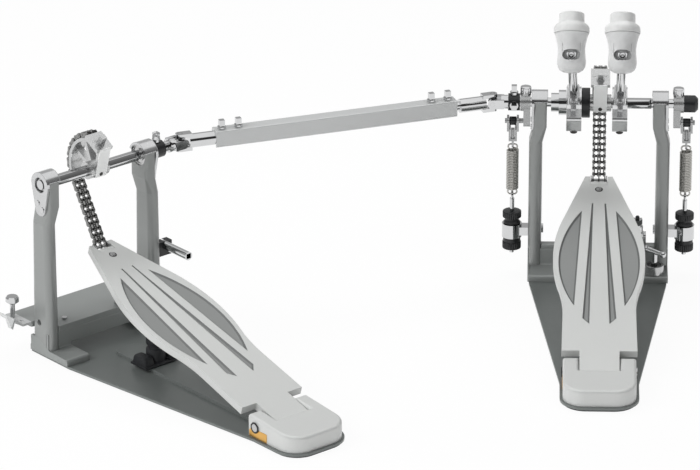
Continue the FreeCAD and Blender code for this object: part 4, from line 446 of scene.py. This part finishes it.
# Chains: waisted plates, bushes and riveted pins
CHAIN_PITCH = 6.35 * MM
SPROCKET_TEETH = 36
CHAIN_HALF = 6.8 * MM
LINK_PLATE = 1.2 * MM
LINK_HALF_HEIGHT = 2.6 * MM
LINK_WAIST = 0.74
LINK_EASE = 0.18 * MM
LINK_GAP = 0.2 * MM
BUSH_RADIUS = 1.3 * MM
PIN_RADIUS = 0.8 * BUSH_RADIUS
PIN_PROUD = 0.4 * MM
PIN_EASE = 0.3 * MM
RUN_LINKS = 12
WHEEL_PINS = 12
LOWER_END = 3
UPPER_END = 6


def link_plate(x):
    """One plate from a pin at the origin to the next along Y, drawn in at its waist."""
    plate = cylinder("link_plate", LINK_HALF_HEIGHT, LINK_PLATE, (x, 0, 0), "X", sides=18)
    edit_selected(plate, "VERT", lambda corner: corner.co.y > 0)
    bpy.ops.transform.translate(value=(0, CHAIN_PITCH, 0))
    bpy.ops.mesh.select_all(action="SELECT")
    bpy.ops.mesh.bisect(plane_co=(0, CHAIN_PITCH / 2, 0), plane_no=(0, 1, 0))
    bpy.ops.transform.resize(value=(1, 1, LINK_WAIST))
    leave_edit()
    return plate


def link(name, columns):
    whole = join(name, [link_plate(x) for x in columns])
    round_edges(whole, LINK_EASE, segments=1, angle=50)
    smooth(whole)
    paint(whole, "chain_steel")
    return whole


def chain_pin():
    """A bush between the plates on a pin with peened ends; the bush is painted near-black, painted shade between
    the plates.
    """
    bush = cylinder("bush", BUSH_RADIUS, (CHAIN_HALF - LINK_PLATE) * 2, (0, 0, 0), "X", sides=14)
    pin = cylinder("pin", PIN_RADIUS, (CHAIN_HALF + PIN_PROUD) * 2, (0, 0, 0), "X", sides=12)
    round_edges(pin, PIN_EASE)
    # Painted shade: the bush is near-black where the plates shade it
    paint(bush, "dark_steel_and_painted_shade")
    paint(pin, "chain_steel")
    whole = join("chain_pin", [bush, pin])
    smooth(whole)
    return whole


def chain_path():
    """Pin places of one chain from the toe up and over the sprocket, on the main pedal."""
    toe = Vector(joints["main_chain_run"]["pos_m"])
    shaft = Vector(joints["main_shaft"]["pos_m"])
    radius = CHAIN_PITCH / (2 * math.sin(math.pi / SPROCKET_TEETH))
    down = toe - shaft
    leave = math.atan2(down.z, down.y) + math.acos(radius / down.length)
    step = 2 * math.pi / SPROCKET_TEETH
    angles = [leave + step * i for i in range(WHEEL_PINS)]
    on_wheel = [shaft + Vector((0, radius * math.cos(angle), radius * math.sin(angle))) for angle in angles]
    run = [toe.lerp(on_wheel[0], i / RUN_LINKS) for i in range(RUN_LINKS + 1)]
    return run, on_wheel


def along(start, end):
    """Puts a link that lies on Y between two pin places."""
    way = end - start
    return Matrix.Translation(start) @ Matrix.Rotation(math.atan2(way.z, way.y), 4, "X")


def chains():
    """Both chains, each in a straight run, two rigid lengths and a wrap on the sprocket."""
    far = CHAIN_HALF - LINK_PLATE / 2
    near = far - LINK_PLATE - LINK_GAP
    middle = LINK_PLATE + LINK_GAP
    outer = link("outer_link", (-far, 0, far))
    inner = link("inner_link", (-near, -middle, middle, near))
    pin = chain_pin()
    run, wheel = chain_path()
    # Each stretch: its body, its link ends, its own pins and whether an outer link comes first
    stretches = {
        "run": ("run", run, run[1:], True),
        "lower": ("links_lower", wheel[:LOWER_END + 1], wheel[1:LOWER_END], True),
        "upper": ("links_upper", wheel[LOWER_END:UPPER_END + 1], wheel[LOWER_END:UPPER_END], False),
        "wrap": ("axle", wheel[UPPER_END:], wheel[UPPER_END:], True),
    }
    for pedal in PEDALS:
        place = pedal_place(pedal)
        for stretch, (body, points, pins, outer_first) in stretches.items():
            links = [copy_of(pin, place @ Matrix.Translation(point)) for point in pins]
            for i, (start, end) in enumerate(zip(points, points[1:])):
                kind = outer if (i % 2 == 0) == outer_first else inner
                links.append(copy_of(kind, place @ along(start, end)))
            chain = join("%s_chain_%s_links" % (pedal, stretch), links)
            dress(chain, "%s_%s" % (pedal, body), "chain_steel", None, "%s_chain_%s" % (pedal, stretch))
    discard(outer, inner, pin)


# Return springs: close turns between two hooks
SPRING_RADIUS = 5.75 * MM
SPRING_WIRE = 0.86 * MM
WIRE_SIDES = 9
SPRING_TURNS = 24
TURN_STEPS = 22
COIL_FOOT = 94 * MM
COIL_TOP = 138 * MM
HOOK_RADIUS = 2.9 * MM
HOOK_STRETCH = 1.9 * MM
HOOK_REACH = 0.4 * MM + HOOK_RADIUS


def coil():
    deselect_all()
    bpy.ops.mesh.primitive_circle_add(vertices=WIRE_SIDES, radius=SPRING_WIRE,
                                      location=(0, SPRING_RADIUS, COIL_FOOT), rotation=AXIS_TURNS["X"])
    wire = start_piece("coil")
    use_modifier(wire, "SCREW", axis="Z", angle=2 * math.pi, iterations=SPRING_TURNS, steps=TURN_STEPS,
                 render_steps=TURN_STEPS, screw_offset=(COIL_TOP - COIL_FOOT) / SPRING_TURNS)
    edit_selected(wire, "VERT")
    bpy.ops.mesh.fill_holes(sides=0)
    bpy.ops.mesh.normals_make_consistent(inside=False)
    leave_edit()
    return wire


def hook(z):
    """A wire loop across the end of the coil, drawn out sideways."""
    loop = torus("hook", HOOK_RADIUS, SPRING_WIRE, TURN_STEPS, WIRE_SIDES, (0, 0, z), "Y")
    draw_out(loop, HOOK_STRETCH)
    return loop


def springs():
    for side in SIDES:
        foot = joints[side + "_spring_swing"]["pos_m"]
        hooks = [hook(COIL_TOP + HOOK_REACH), hook(COIL_FOOT - HOOK_REACH)]
        spring = join(side + "_spring_coil", [coil(), *hooks])
        spring.data.transform(shift(foot[0], foot[1], 0))
        smooth(spring, angle=50)
        paint(spring, "spring_wire")
        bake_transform(spring)
        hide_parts(side + "_spring")


# Tension nuts: foot and height in millimetres, then the knurl's start and height and the core as shares
NUT_RADIUS = 9.8
NUT_RIBS = 26
UPPER_NUT = (55.6, 13.6, 0.46, 0.52,
             [(0.9, 0), (0.9, 0.1), (0.7, 0.26), (0.7, 0.4), (0.9, 0.5), (0.6, 0.99), (0.4, 1)])
LOWER_NUT = (27.0, 12.8, 0, 0.62, [(0.9, 0.5), (0.93, 0.68), (0.93, 0.94), (0.86, 1), (0.4, 1)])


def knurled_nut(name, foot, height, knurl_start, knurl_height, core_shares):
    """A knurled drum round a turned core that shows as a neck or shoulder."""
    drum = ribbed("drum", NUT_RADIUS, height * knurl_height, foot + height * knurl_start, NUT_RIBS)
    core_profile = [(NUT_RADIUS * across, foot + height * up) for across, up in core_shares]
    return join(name, [drum, turned("core", core_profile, sides=40)])


def tension_nuts():
    """Two knurled nuts on each spring's eye bolt."""
    for side in SIDES:
        place = joints[side + "_nut_turn"]["pos_m"]
        pair = [knurled_nut("upper_nut", *UPPER_NUT), knurled_nut("lower_nut", *LOWER_NUT)]
        nuts = join(side + "_knurled_nuts", pair)
        nuts.data.transform(shift(place[0], place[1], 0))
        smooth(nuts, angle=30)
        dress(nuts, side + "_nuts", "black_plastic", "black_plastic", side + "_tension_nuts")


# Spring rockers and hangers
THUMB_INSET = 5.3 * MM
THUMB_NECK = [(4.2, 8.6), (4.2, 10.2), (5.2, 10.6), (5.2, 16.4), (5.5, 16.6), (5.5, 17.4), (4.4, 18.0),
              (1.6, 18.2)]
TYRE_PROFILE = [(3.2, -3.7), (4.2, -3.7), (4.5, -3.3), (4.5, 3.3), (4.2, 3.7), (3.2, 3.7)]
ROCKER_DROP = 19.7 * MM
WEB_SIZE = (3.6 * MM, 4.6 * MM, 12 * MM)
WEB_LEVEL = 155.8 * MM
WEB_RIM = 0.8 * MM
WEB_DISH = 0.3 * MM
WEB_EASE = 0.25 * MM


def rocker_trim():
    """A knurled thumb nut over each rocker's nut and a black tyre on its roller."""
    for side in SIDES:
        low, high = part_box(side + "_rocker")
        x = high.x - THUMB_INSET if side == "left" else low.x + THUMB_INSET
        drum = ribbed("thumb_drum", radius=5.9, height=6.2, foot=10.4, ribs=16)
        neck = turned("thumb_neck", THUMB_NECK, sides=32)
        nut = join(side + "_thumb_nut", [drum, neck])
        nut.data.transform(shift(x, 0, SHAFT_LEVEL))
        smooth(nut, angle=30)
        dress(nut, AXLES[side], "bright_chrome", "bright_chrome")
        tyre = turned(side + "_roller_tyre", TYRE_PROFILE, sides=32)
        swing = joints[side + "_spring_swing"]["pos_m"]
        tyre.data.transform(shift(swing[0], swing[1], SHAFT_LEVEL - ROCKER_DROP) @ turn(90, "Y"))
        smooth(tyre)
        dress(tyre, AXLES[side], "black_plastic", "black_plastic")


def hanger_webs():
    """A flat web in each hanger's fork, with a narrow slit on both sides."""
    for side in SIDES:
        swing = joints[side + "_spring_swing"]["pos_m"]
        web = cube(side + "_hanger_web", WEB_SIZE, (swing[0], swing[1], WEB_LEVEL))
        edit_selected(web, "FACE", lambda face: face.normal.y < -SQUARE_ON)
        bpy.ops.mesh.inset(thickness=WEB_RIM, depth=WEB_DISH)
        leave_edit()
        round_edges(web, WEB_EASE)
        smooth(web)
        dress(web, side + "_hanger", "bright_chrome", "satin_steel")


# Spacer ring and sprocket fronts
SPACER_PROFILE = [(13.5, -19.1), (15.2, -19.1), (15.7, -18.6), (15.7, -11), (15.2, -10.5), (12, -10.5)]
BLOCK_FRONT = 0.95
BLOCK_SLOPE = (-0.3, -0.2)
PLATE_THICKNESS = 0.5 * MM
HOLE_RADIUS = 2.1 * MM
HOLE_DEPTH = 0.6 * MM
HOLE_PLACE = (0, -9.6 * MM, 186.5 * MM)
HOLE_LEAN = 15


def spacer_ring():
    """The wide black ring between the left hub and the sprocket."""
    ring = turned("spacer_ring", SPACER_PROFILE)
    ring.data.transform(shift(0, 0, SHAFT_LEVEL) @ turn(90, "Y"))
    smooth(ring, angle=30)
    dress(ring, "main_axle", "black_plastic", "black_plastic")


def on_block_front(way):
    """Whether a face looks forwards and a little down, as the clamp block's front does."""
    return way.y < -BLOCK_FRONT and BLOCK_SLOPE[0] < way.z < BLOCK_SLOPE[1]


def sprocket_plates():
    """The pale flat plate on the front of each sprocket's clamp block, with a near-black disc at its foot that is
    painted shade standing for a hole.
    """
    for pedal in PEDALS:
        place = pedal_place(pedal)
        unturned = place.to_3x3().inverted()
        plate = sheet_from_node(pedal + "_sprocket_plate", pedal + "_sprocket",
                                lambda face: on_block_front(unturned @ face.normal))
        use_modifier(plate, "SOLIDIFY", thickness=PLATE_THICKNESS, offset=1)
        paint(plate, "plate_paint")
        # A shallow near-black disc: painted shade where the hole is
        hole = cylinder("hole", HOLE_RADIUS, HOLE_DEPTH, (0, 0, 0), "Y")
        hole.data.transform(place @ shift(*HOLE_PLACE) @ turn(HOLE_LEAN, "X"))
        paint(hole, "dark_steel_and_painted_shade")
        whole = join(pedal + "_sprocket_front", [plate, hole])
        smooth(whole, angle=30)
        dress(whole, pedal + "_axle", "bright_chrome", None)


# Toe trim
HINGE = (0, -299 * MM, 16 * MM)
BOARD_TILT = 15.8
BOARD_TOP = 10.0 * MM
TOE_LIP = 296.4 * MM
LIP_SIZE = (18.2 * MM, 5 * MM, 3 * MM)
LIP_EASE = 0.5 * MM
TOE_SCREW = 285.8 * MM
# The near-black disc under each toe screw is painted shadow of the countersink; the head is shifted off its centre
# so the painted shadow shows as a crescent
SHADOW_SEAT_PROFILE = [(4.1, -0.4), (4.1, 0.1), (3.4, 0.12)]
SCREW_PROFILE = [(2.9, 0), (2.8, 0.5), (2.0, 1.1), (0.8, 1.25)]
SCREW_SLOT = (6 * MM, 0.8 * MM, 1 * MM)
SLOT_LEVEL = 1.1 * MM
SHADOW_CRESCENT_SHIFT = 0.8 * MM


def board_place(pedal, reach):
    """A place on a footboard's top, this far from the hinge along the board."""
    return pedal_place(pedal) @ shift(*HINGE) @ turn(BOARD_TILT, "X") @ shift(0, reach, BOARD_TOP)


def toe_trim():
    """A lip at the foot of each toe notch and a slotted screw set off-centre on a near-black disc, painted shadow
    in its countersink that shows as a dark crescent.
    """
    for pedal in PEDALS:
        lip = cube(pedal + "_toe_lip", LIP_SIZE, (0, 0, -LIP_SIZE[2] / 2))
        round_edges(lip, LIP_EASE)
        smooth(lip)
        lip.data.transform(board_place(pedal, TOE_LIP))
        dress(lip, pedal + "_board", "board_paint", "board_paint")
        # Painted shadow: a near-black disc in the countersink
        shadow_seat = turned("shadow_seat", SHADOW_SEAT_PROFILE, sides=32)
        paint(shadow_seat, "dark_steel_and_painted_shade")
        head = turned("head", SCREW_PROFILE, sides=32)
        cut_away(head, cube("slot", SCREW_SLOT, (0, 0, SLOT_LEVEL)))
        # Shifts the head so the painted shadow shows on one side only
        head.data.transform(shift(0, SHADOW_CRESCENT_SHIFT, 0))
        paint(head, "satin_steel")
        screw = join(pedal + "_toe_screw", [shadow_seat, head])
        smooth(screw, angle=30)
        screw.data.transform(board_place(pedal, TOE_SCREW))
        dress(screw, pedal + "_board", "bright_chrome", None)


# Hoop clamp
JAW_NUT = [(6.6, 50), (7.2, 50.4), (7.2, 51.8), (5.2, 52), (5.9, 53), (5.9, 58.6), (4.6, 60.2), (3.4, 60.4)]
JAW_TIP = [(2.1, 60), (2.1, 69), (1.6, 69.8), (0.6, 70)]
JAW_BOLT_PLACE = (41 * MM, -16.8 * MM, 0)


def jaw_bolt_tip():
    """A black tip, a round nut and a washer on the hoop clamp's adjusting bolt."""
    nut = turned("jaw_nut", JAW_NUT, sides=32)
    paint(nut, "satin_chrome")
    tip = turned("jaw_tip", JAW_TIP, sides=24)
    paint(tip, "black_plastic")
    whole = join("jaw_bolt_tip", [nut, tip])
    whole.data.transform(shift(*JAW_BOLT_PLACE))
    smooth(whole, angle=30)
    dress(whole, "hoop_jaw", "bearing_steel", None)


# Beaters: fluted body with a window for the rod's end, and a shouldered striking pad
BEATER_LEAN = 49
HEAD_TILT = 9.4
HEAD_GRIP = 140 * MM
BEATER_X = {"right": 20.5 * MM, "left": -27.2 * MM}
BEATER_SPLAY = {"right": 0, "left": 1.7}
ALONG_Y = turn(-90, "X")
HEAD_PROFILE = [(5.5, -16.2), (9.2, -15.5), (12.2, -13.6), (14.1, -10.6), (14.8, -6.6), (14.8, -4),
                (14.4, 0), (14.0, 4), (13.95, 8), (14.6, 13), (15.7, 18), (17.0, 22.4), (17.6, 23.5),
                (16.6, 24.2), (8, 24.2)]
PAD_PROFILE = [(8, 24.1), (16.9, 24.1), (17.9, 24.4), (18.3, 25.4), (18.2, 29.4), (17.7, 31.2), (16.2, 33.0),
               (14.0, 34.4), (13.3, 35.2), (13.1, 36.2), (13.0, 43.2), (12.6, 44.6), (11.2, 45.5), (6, 45.9)]
WELL_PROFILE = [(5.6, 4.0), (5.6, 20)]
WELL_STRETCH = 3.6 * MM
FLUTE_PROFILE = [(0.9, 2), (0.8, 8), (0.3, 15)]
FLUTE_OUT = 8.9 * MM
FLUTE_LEVEL = 10.9 * MM
ROD_NUT = [(5.4, 4.1), (5.4, 6.6), (4.9, 7.0), (2.5, 7.0)]
ROD_TIP = [(3.6, 6.9), (3.6, 9.6), (2.9, 10.3), (1.4, 10.4), (1.2, 9.2)]
HUB_SCREW = [(3.9, 1), (3.9, -1.2), (3.3, -2), (1.8, -2), (1.6, -1.0)]
HUB_SCREW_Y = -13 * MM
HUB_SCREW_DROP = 26.5 * MM


def hub_bolt_ends():
    """The dark end of the clamp screw under each beater hub."""
    for side, x in BEATER_X.items():
        end = turned(side + "_hub_screw", HUB_SCREW, sides=32)
        end.data.transform(shift(x, HUB_SCREW_Y, SHAFT_LEVEL - HUB_SCREW_DROP))
        smooth(end, angle=30)
        dress(end, AXLES[side], "bearing_steel", "dark_steel_and_painted_shade")


def beater_place(side):
    """Where a head stands: across the shaft, leaning to the player, at its grip on the rod."""
    lean = turn(BEATER_LEAN, "X") @ turn(-BEATER_SPLAY[side], "Y")
    return shift(BEATER_X[side], 0, SHAFT_LEVEL) @ lean @ shift(0, 0, HEAD_GRIP) @ turn(HEAD_TILT, "X")


def window_cutter():
    """An oval well for the rod's end, wider than it is high."""
    well = turned("well", WELL_PROFILE, sides=32)
    draw_out(well, WELL_STRETCH)
    return well


def flute_cutter(side):
    """A tapering groove beside the window."""
    flute = turned("flute", FLUTE_PROFILE, sides=12)
    flute.data.transform(shift(FLUTE_OUT * side, 0, FLUTE_LEVEL) @ ALONG_Y)
    return flute


def beater_heads():
    for side in BEATER_X:
        place = beater_place(side)
        head = turned(side + "_head_body", HEAD_PROFILE, sides=64)
        head.data.transform(ALONG_Y)
        cut_away(head, window_cutter())
        for flute_side in (-1, 1):
            cut_away(head, flute_cutter(flute_side))
        smooth(head, angle=32)
        head.data.transform(place)
        dress(head, AXLES[side], "beater_grey", "beater_grey", side + "_beater_head")
        pad = turned(side + "_strike_pad", PAD_PROFILE, sides=64)
        smooth(pad, angle=32)
        pad.data.transform(place @ ALONG_Y)
        dress(pad, AXLES[side], "beater_pad", "beater_pad", side + "_beater_pad")
        nut = turned("rod_nut", ROD_NUT, sides=6)
        tip = turned("rod_tip", ROD_TIP, sides=24)
        end = join(side + "_rod_nut", [nut, tip])
        smooth(end, angle=30)
        end.data.transform(place)
        dress(end, AXLES[side], "bright_chrome", "bright_chrome")


# Hexagon shafts, with a flat on top as on the real one
SHAFT_RADIUS = 5.0 * MM
HEX_RADIUS = 5.77 * MM
HEX_EASE = 0.35 * MM
HEX_END = 53.5 * MM
HEX_START = {"main": -12.2 * MM, "slave": -53.5 * MM}
SHAFT_ENDS = {"main": (-44.5 * MM, 97.6 * MM), "slave": (-70.8 * MM, 66 * MM)}
YOKE_START = HEX_END + 1 * MM


def bar(name, radius, ends, sides):
    """A bar along the main shaft's axis between two places on X."""
    start, end = ends
    return cylinder(name, radius, end - start, ((start + end) / 2, 0, SHAFT_LEVEL), "X", sides)


def hex_shafts():
    """Both shafts with a flat of the hexagon on top; the slave's yoke is kept from the CAD node."""
    for pedal, start in HEX_START.items():
        node = pedal + "_shaft"
        place = pedal_place(pedal)
        unplaced = place.inverted()
        journal = bar("journal", SHAFT_RADIUS, SHAFT_ENDS[pedal], sides=48)
        flats = bar("flats", HEX_RADIUS, (start, HEX_END), sides=6)
        round_edges(flats, HEX_EASE)
        pieces = [journal, flats]
        if pedal == "slave":
            yoke = sheet_from_node("yoke", node, lambda face: (unplaced @ face.center).x > YOKE_START)
            yoke.data.transform(unplaced)
            pieces.append(yoke)
        shaft = join(pedal + "_hex_shaft", pieces)
        shaft.data.transform(place)
        smooth(shaft, angle=25)
        dress(shaft, pedal + "_axle", "bright_chrome", "shaft_chrome", node)


# Rubber bumpers: a post between two lobes on a low foot
BUMPER_Y = -95 * MM
BUMPER_FOOT = 7.6 * MM
LOBE_SIZE = (14 * MM, 24 * MM, 11 * MM)
LOBE_OUT = 16 * MM
LOBE_LEVEL = 6.2 * MM
LOBE_TOP = (0.8, 0.78, 1)
LOBE_EASE = 3 * MM
POST_PROFILE = [(10, 1), (10, 15), (9.4, 16), (8.2, 16.6), (8.2, 19.6), (9.6, 20.4), (10, 21.4), (10, 29.4),
                (9.2, 31.4), (7, 32.4), (3, 32.4)]
FOOT_SIZE = (46 * MM, 26 * MM, 3 * MM)
FOOT_EASE = 1.2 * MM


def bumper_lobe(side):
    lobe = cube("lobe", LOBE_SIZE, (LOBE_OUT * side, 0, LOBE_LEVEL))
    edit_selected(lobe, "FACE", lambda face: face.normal.z > SQUARE_ON)
    bpy.ops.transform.resize(value=LOBE_TOP)
    leave_edit()
    round_edges(lobe, LOBE_EASE, segments=4, angle=30)
    return lobe


def bumper():
    post = turned("bumper_post", POST_PROFILE, sides=40)
    foot = cube("bumper_foot", FOOT_SIZE, (0, 0, FOOT_SIZE[2] / 2))
    round_edges(foot, FOOT_EASE)
    return join("bumper", [post, foot, bumper_lobe(-1), bumper_lobe(1)])


def bumpers():
    whole = []
    for pedal in PEDALS:
        one = bumper()
        one.data.transform(pedal_place(pedal) @ shift(0, BUMPER_Y, BUMPER_FOOT))
        whole.append(one)
    pair = join("rubber_bumpers", whole)
    smooth(pair, angle=35)
    dress(pair, "frames", "pad_rubber", "pad_rubber", "bumpers")


# Footboard pockets
UPWARD = 0.5
LEVEL_WITH = 0.999
POCKET_DEPTHS = (1.2 * MM, 2.0 * MM)
RIM_WIDTH = 1.7 * MM
RIM_RISE = 1.4 * MM
FLOOR_LIFT = 0.1 * MM


def pocket_floors():
    """Darker floors in each footboard's leaf pockets and grooves, with a sloping rim painted darker still as
    painted shade on the pocket walls.
    """
    shallow, deep = POCKET_DEPTHS
    for pedal in PEDALS:
        faces = frame["nodes"][pedal + "_footboard"].data.polygons
        upper_faces = [face for face in faces if face.normal.z > UPWARD]
        up = max(upper_faces, key=lambda face: face.area).normal.copy()
        top = max(face.center.dot(up) for face in faces if face.normal.dot(up) > LEVEL_WITH)
        floors = sheet_from_node(pedal + "_pocket_floors", pedal + "_footboard",
                                 lambda face: face.normal.dot(up) > LEVEL_WITH
                                 and shallow < top - face.center.dot(up) < deep)
        paint(floors, "pocket_paint", "painted_rim_shade")
        edit_selected(floors, "FACE")
        bpy.ops.mesh.dissolve_limited(angle_limit=math.radians(1))
        bpy.ops.mesh.select_all(action="SELECT")
        bpy.ops.mesh.inset(thickness=RIM_WIDTH, use_boundary=True)
        bpy.ops.mesh.select_all(action="INVERT")
        leave_edit()
        # The inset's border strip takes the second finish, painted shade on the pocket walls
        for face in floors.data.polygons:
            face.material_index = int(face.select)
        edit_selected(floors, "FACE")
        bpy.ops.mesh.region_to_loop()
        bpy.ops.transform.translate(value=up * RIM_RISE)
        leave_edit()
        floors.data.transform(Matrix.Translation(up * FLOOR_LIFT))
        dress(floors, pedal + "_board", "board_paint", None)


# Heel sides
SIDE_PLATE = (0.5 * MM, 27 * MM, 9.5 * MM)
SIDE_PLATE_PLACE = (-37.2 * MM, -303.5 * MM, 9.75 * MM)
CUT_CORNER = 3 * MM
SEAL_X = -37.9 * MM
SEAL_RADIUS = 4.9 * MM
SEAL_WIRE = 1.0 * MM
SEAL_SQUASH = 0.7


def heel_side_plates():
    """A bare gold plate and a black ring on the outer side of each heel plate, by the hinge pin."""
    middle = Vector(SIDE_PLATE_PLACE)
    for pedal in PEDALS:
        place = pedal_place(pedal)
        plate = cube(pedal + "_side_plate", SIDE_PLATE, SIDE_PLATE_PLACE)
        ends = [[plate.data.vertices[i].co - middle for i in edge.vertices] for edge in plate.data.edges]
        edit_selected(plate, "EDGE", lambda edge: all(end.y > 0 and end.z > 0 for end in ends[edge.index]))
        bpy.ops.mesh.bevel(offset=CUT_CORNER, segments=1)
        leave_edit()
        plate.data.transform(place)
        smooth(plate)
        dress(plate, "frames", "board_paint", "gold_plate")
        ring = torus(pedal + "_hinge_seal", SEAL_RADIUS, SEAL_WIRE, segments=36, sides=10,
                     centre=(SEAL_X, *HINGE[1:]), axis="X")
        edit_selected(ring, "VERT")
        bpy.ops.transform.resize(value=(SEAL_SQUASH, 1, 1))
        leave_edit()
        ring.data.transform(place)
        smooth(ring)
        dress(ring, "frames", "black_plastic", "black_plastic")


# Camera and lamps
SENSOR_WIDTH = 36
LENS = 309.9
CLIP_END = 50
CAMERA_PLACE = (-0.078, -5.846, 2.497)
CAMERA_DIP = 22.81
CAMERA_TURN = 1.79
# Each lamp's power, its width and height, its place and the point it is aimed at
LAMPS = {
    "key": (60, (2.4, 2.0), (-2.5, -1.1, 1.9), (-0.25, -0.1, 0.1)),
    "front": (13, (0.5, 1.0), (-1.0, -2.6, 0.75), (-0.1, -0.1, 0.12)),
    "fill": (12, (1.6, 1.0), (2.2, -1.2, 1.8), (-0.2, -0.1, 0.1)),
    "top": (13, (1.8, 0.5), (-0.25, 0.5, 1.5), (-0.25, -0.25, 0.05)),
}


def camera():
    data = bpy.data.cameras.new("camera")
    data.sensor_fit = "HORIZONTAL"
    data.sensor_width = SENSOR_WIDTH
    data.lens = LENS
    data.clip_end = CLIP_END
    place = bpy.data.objects.new("camera", data)
    place.location = CAMERA_PLACE
    place.rotation_euler = (math.radians(90 - CAMERA_DIP), 0, math.radians(CAMERA_TURN))
    bpy.context.collection.objects.link(place)
    bpy.context.scene.camera = place


def lamps():
    """Soft lamps that light the paint but leave no glare on the metal."""
    for name, (power, size, place, target) in LAMPS.items():
        data = bpy.data.lights.new(name, "AREA")
        data.energy = power
        data.shape = "RECTANGLE"
        data.size, data.size_y = size
        light = bpy.data.objects.new(name, data)
        light.location = place
        light.rotation_euler = (Vector(target) - Vector(place)).to_track_quat("-Z", "Y").to_euler()
        light.visible_camera = False
        light.visible_glossy = False
        bpy.context.collection.objects.link(light)


# Surroundings and floor: the dark band's limits are parts of a unit direction
BAND_FOOT = (0.04, 0.16)
BAND_TOP = (0.74, 0.62)
BAND_FRONT = (0.3, -0.4)
BAND_BEHIND = 0.55
BAND_TONE = 0.03
ROOM_COLOUR = (0.75, 0.75, 0.75, 1)
ROOM_LIGHT = 0.34
FLOOR_SIZE = 12
FLOOR_PLACE = (-0.25, 0, 0)
FLOOR_COLOUR = (0.86, 0.86, 0.86, 1)
FLOOR_GLOW = 0.94


def white_to_eye(tree, lit, white):
    """Mixes the white that the eye, mirrors and glass see with what lights everything else."""
    ray = tree.nodes.new("ShaderNodeLightPath").outputs
    mirrored = combine(tree, "MAXIMUM", ray["Is Glossy Ray"], ray["Is Transmission Ray"])
    seen = combine(tree, "MAXIMUM", ray["Is Camera Ray"], mirrored)
    mixed = tree.nodes.new("ShaderNodeMixShader")
    tree.links.new(seen, mixed.inputs["Fac"])
    tree.links.new(lit.outputs[0], mixed.inputs[1])
    tree.links.new(white.outputs[0], mixed.inputs[2])
    return mixed.outputs[0]


def studio():
    """White surroundings with a dark band low in front, where the room behind the camera would be."""
    world = bpy.data.worlds.new("studio")
    bpy.context.scene.world = world
    world.use_nodes = True
    tree = world.node_tree
    tree.nodes.clear()
    out = tree.nodes.new("ShaderNodeOutputWorld")
    place = tree.nodes.new("ShaderNodeTexCoord")
    way = tree.nodes.new("ShaderNodeSeparateXYZ")
    tree.links.new(place.outputs["Generated"], way.inputs["Vector"])
    foot = map_range(tree, way.outputs["Z"], *BAND_FOOT, kind="SMOOTHSTEP")
    top = map_range(tree, way.outputs["Z"], *BAND_TOP, kind="SMOOTHSTEP")
    front = map_range(tree, way.outputs["Y"], *BAND_FRONT, to_start=BAND_BEHIND, kind="SMOOTHSTEP")
    dark = combine(tree, "MULTIPLY", combine(tree, "MULTIPLY", foot, top), front)
    white = tree.nodes.new("ShaderNodeBackground")
    tree.links.new(map_range(tree, dark, 0, 1, to_start=1, to_end=BAND_TONE), white.inputs["Color"])
    lit = tree.nodes.new("ShaderNodeBackground")
    lit.inputs["Color"].default_value = ROOM_COLOUR
    lit.inputs["Strength"].default_value = ROOM_LIGHT
    tree.links.new(white_to_eye(tree, lit, white), out.inputs["Surface"])


def floor():
    deselect_all()
    bpy.ops.mesh.primitive_plane_add(size=FLOOR_SIZE, location=FLOOR_PLACE)
    plane = start_piece("floor")
    material = bpy.data.materials.new("floor_white")
    material.use_nodes = True
    tree = material.node_tree
    tree.nodes.clear()
    out = tree.nodes.new("ShaderNodeOutputMaterial")
    matt = tree.nodes.new("ShaderNodeBsdfDiffuse")
    matt.inputs["Color"].default_value = FLOOR_COLOUR
    glow = tree.nodes.new("ShaderNodeEmission")
    glow.inputs["Color"].default_value = (1, 1, 1, 1)
    part_glow = tree.nodes.new("ShaderNodeMixShader")
    part_glow.inputs["Fac"].default_value = FLOOR_GLOW
    tree.links.new(matt.outputs[0], part_glow.inputs[1])
    tree.links.new(glow.outputs[0], part_glow.inputs[2])
    tree.links.new(white_to_eye(tree, matt, part_glow), out.inputs["Surface"])
    plane.data.materials.append(material)


dress_nodes()
chains()
springs()
tension_nuts()
rocker_trim()
hanger_webs()
spacer_ring()
sprocket_plates()
hub_bolt_ends()
toe_trim()
jaw_bolt_tip()
beater_heads()
hex_shafts()
bumpers()
pocket_floors()
heel_side_plates()
camera()
studio()
floor()
lamps()

scene = bpy.context.scene
scene.view_settings.view_transform = "Standard"
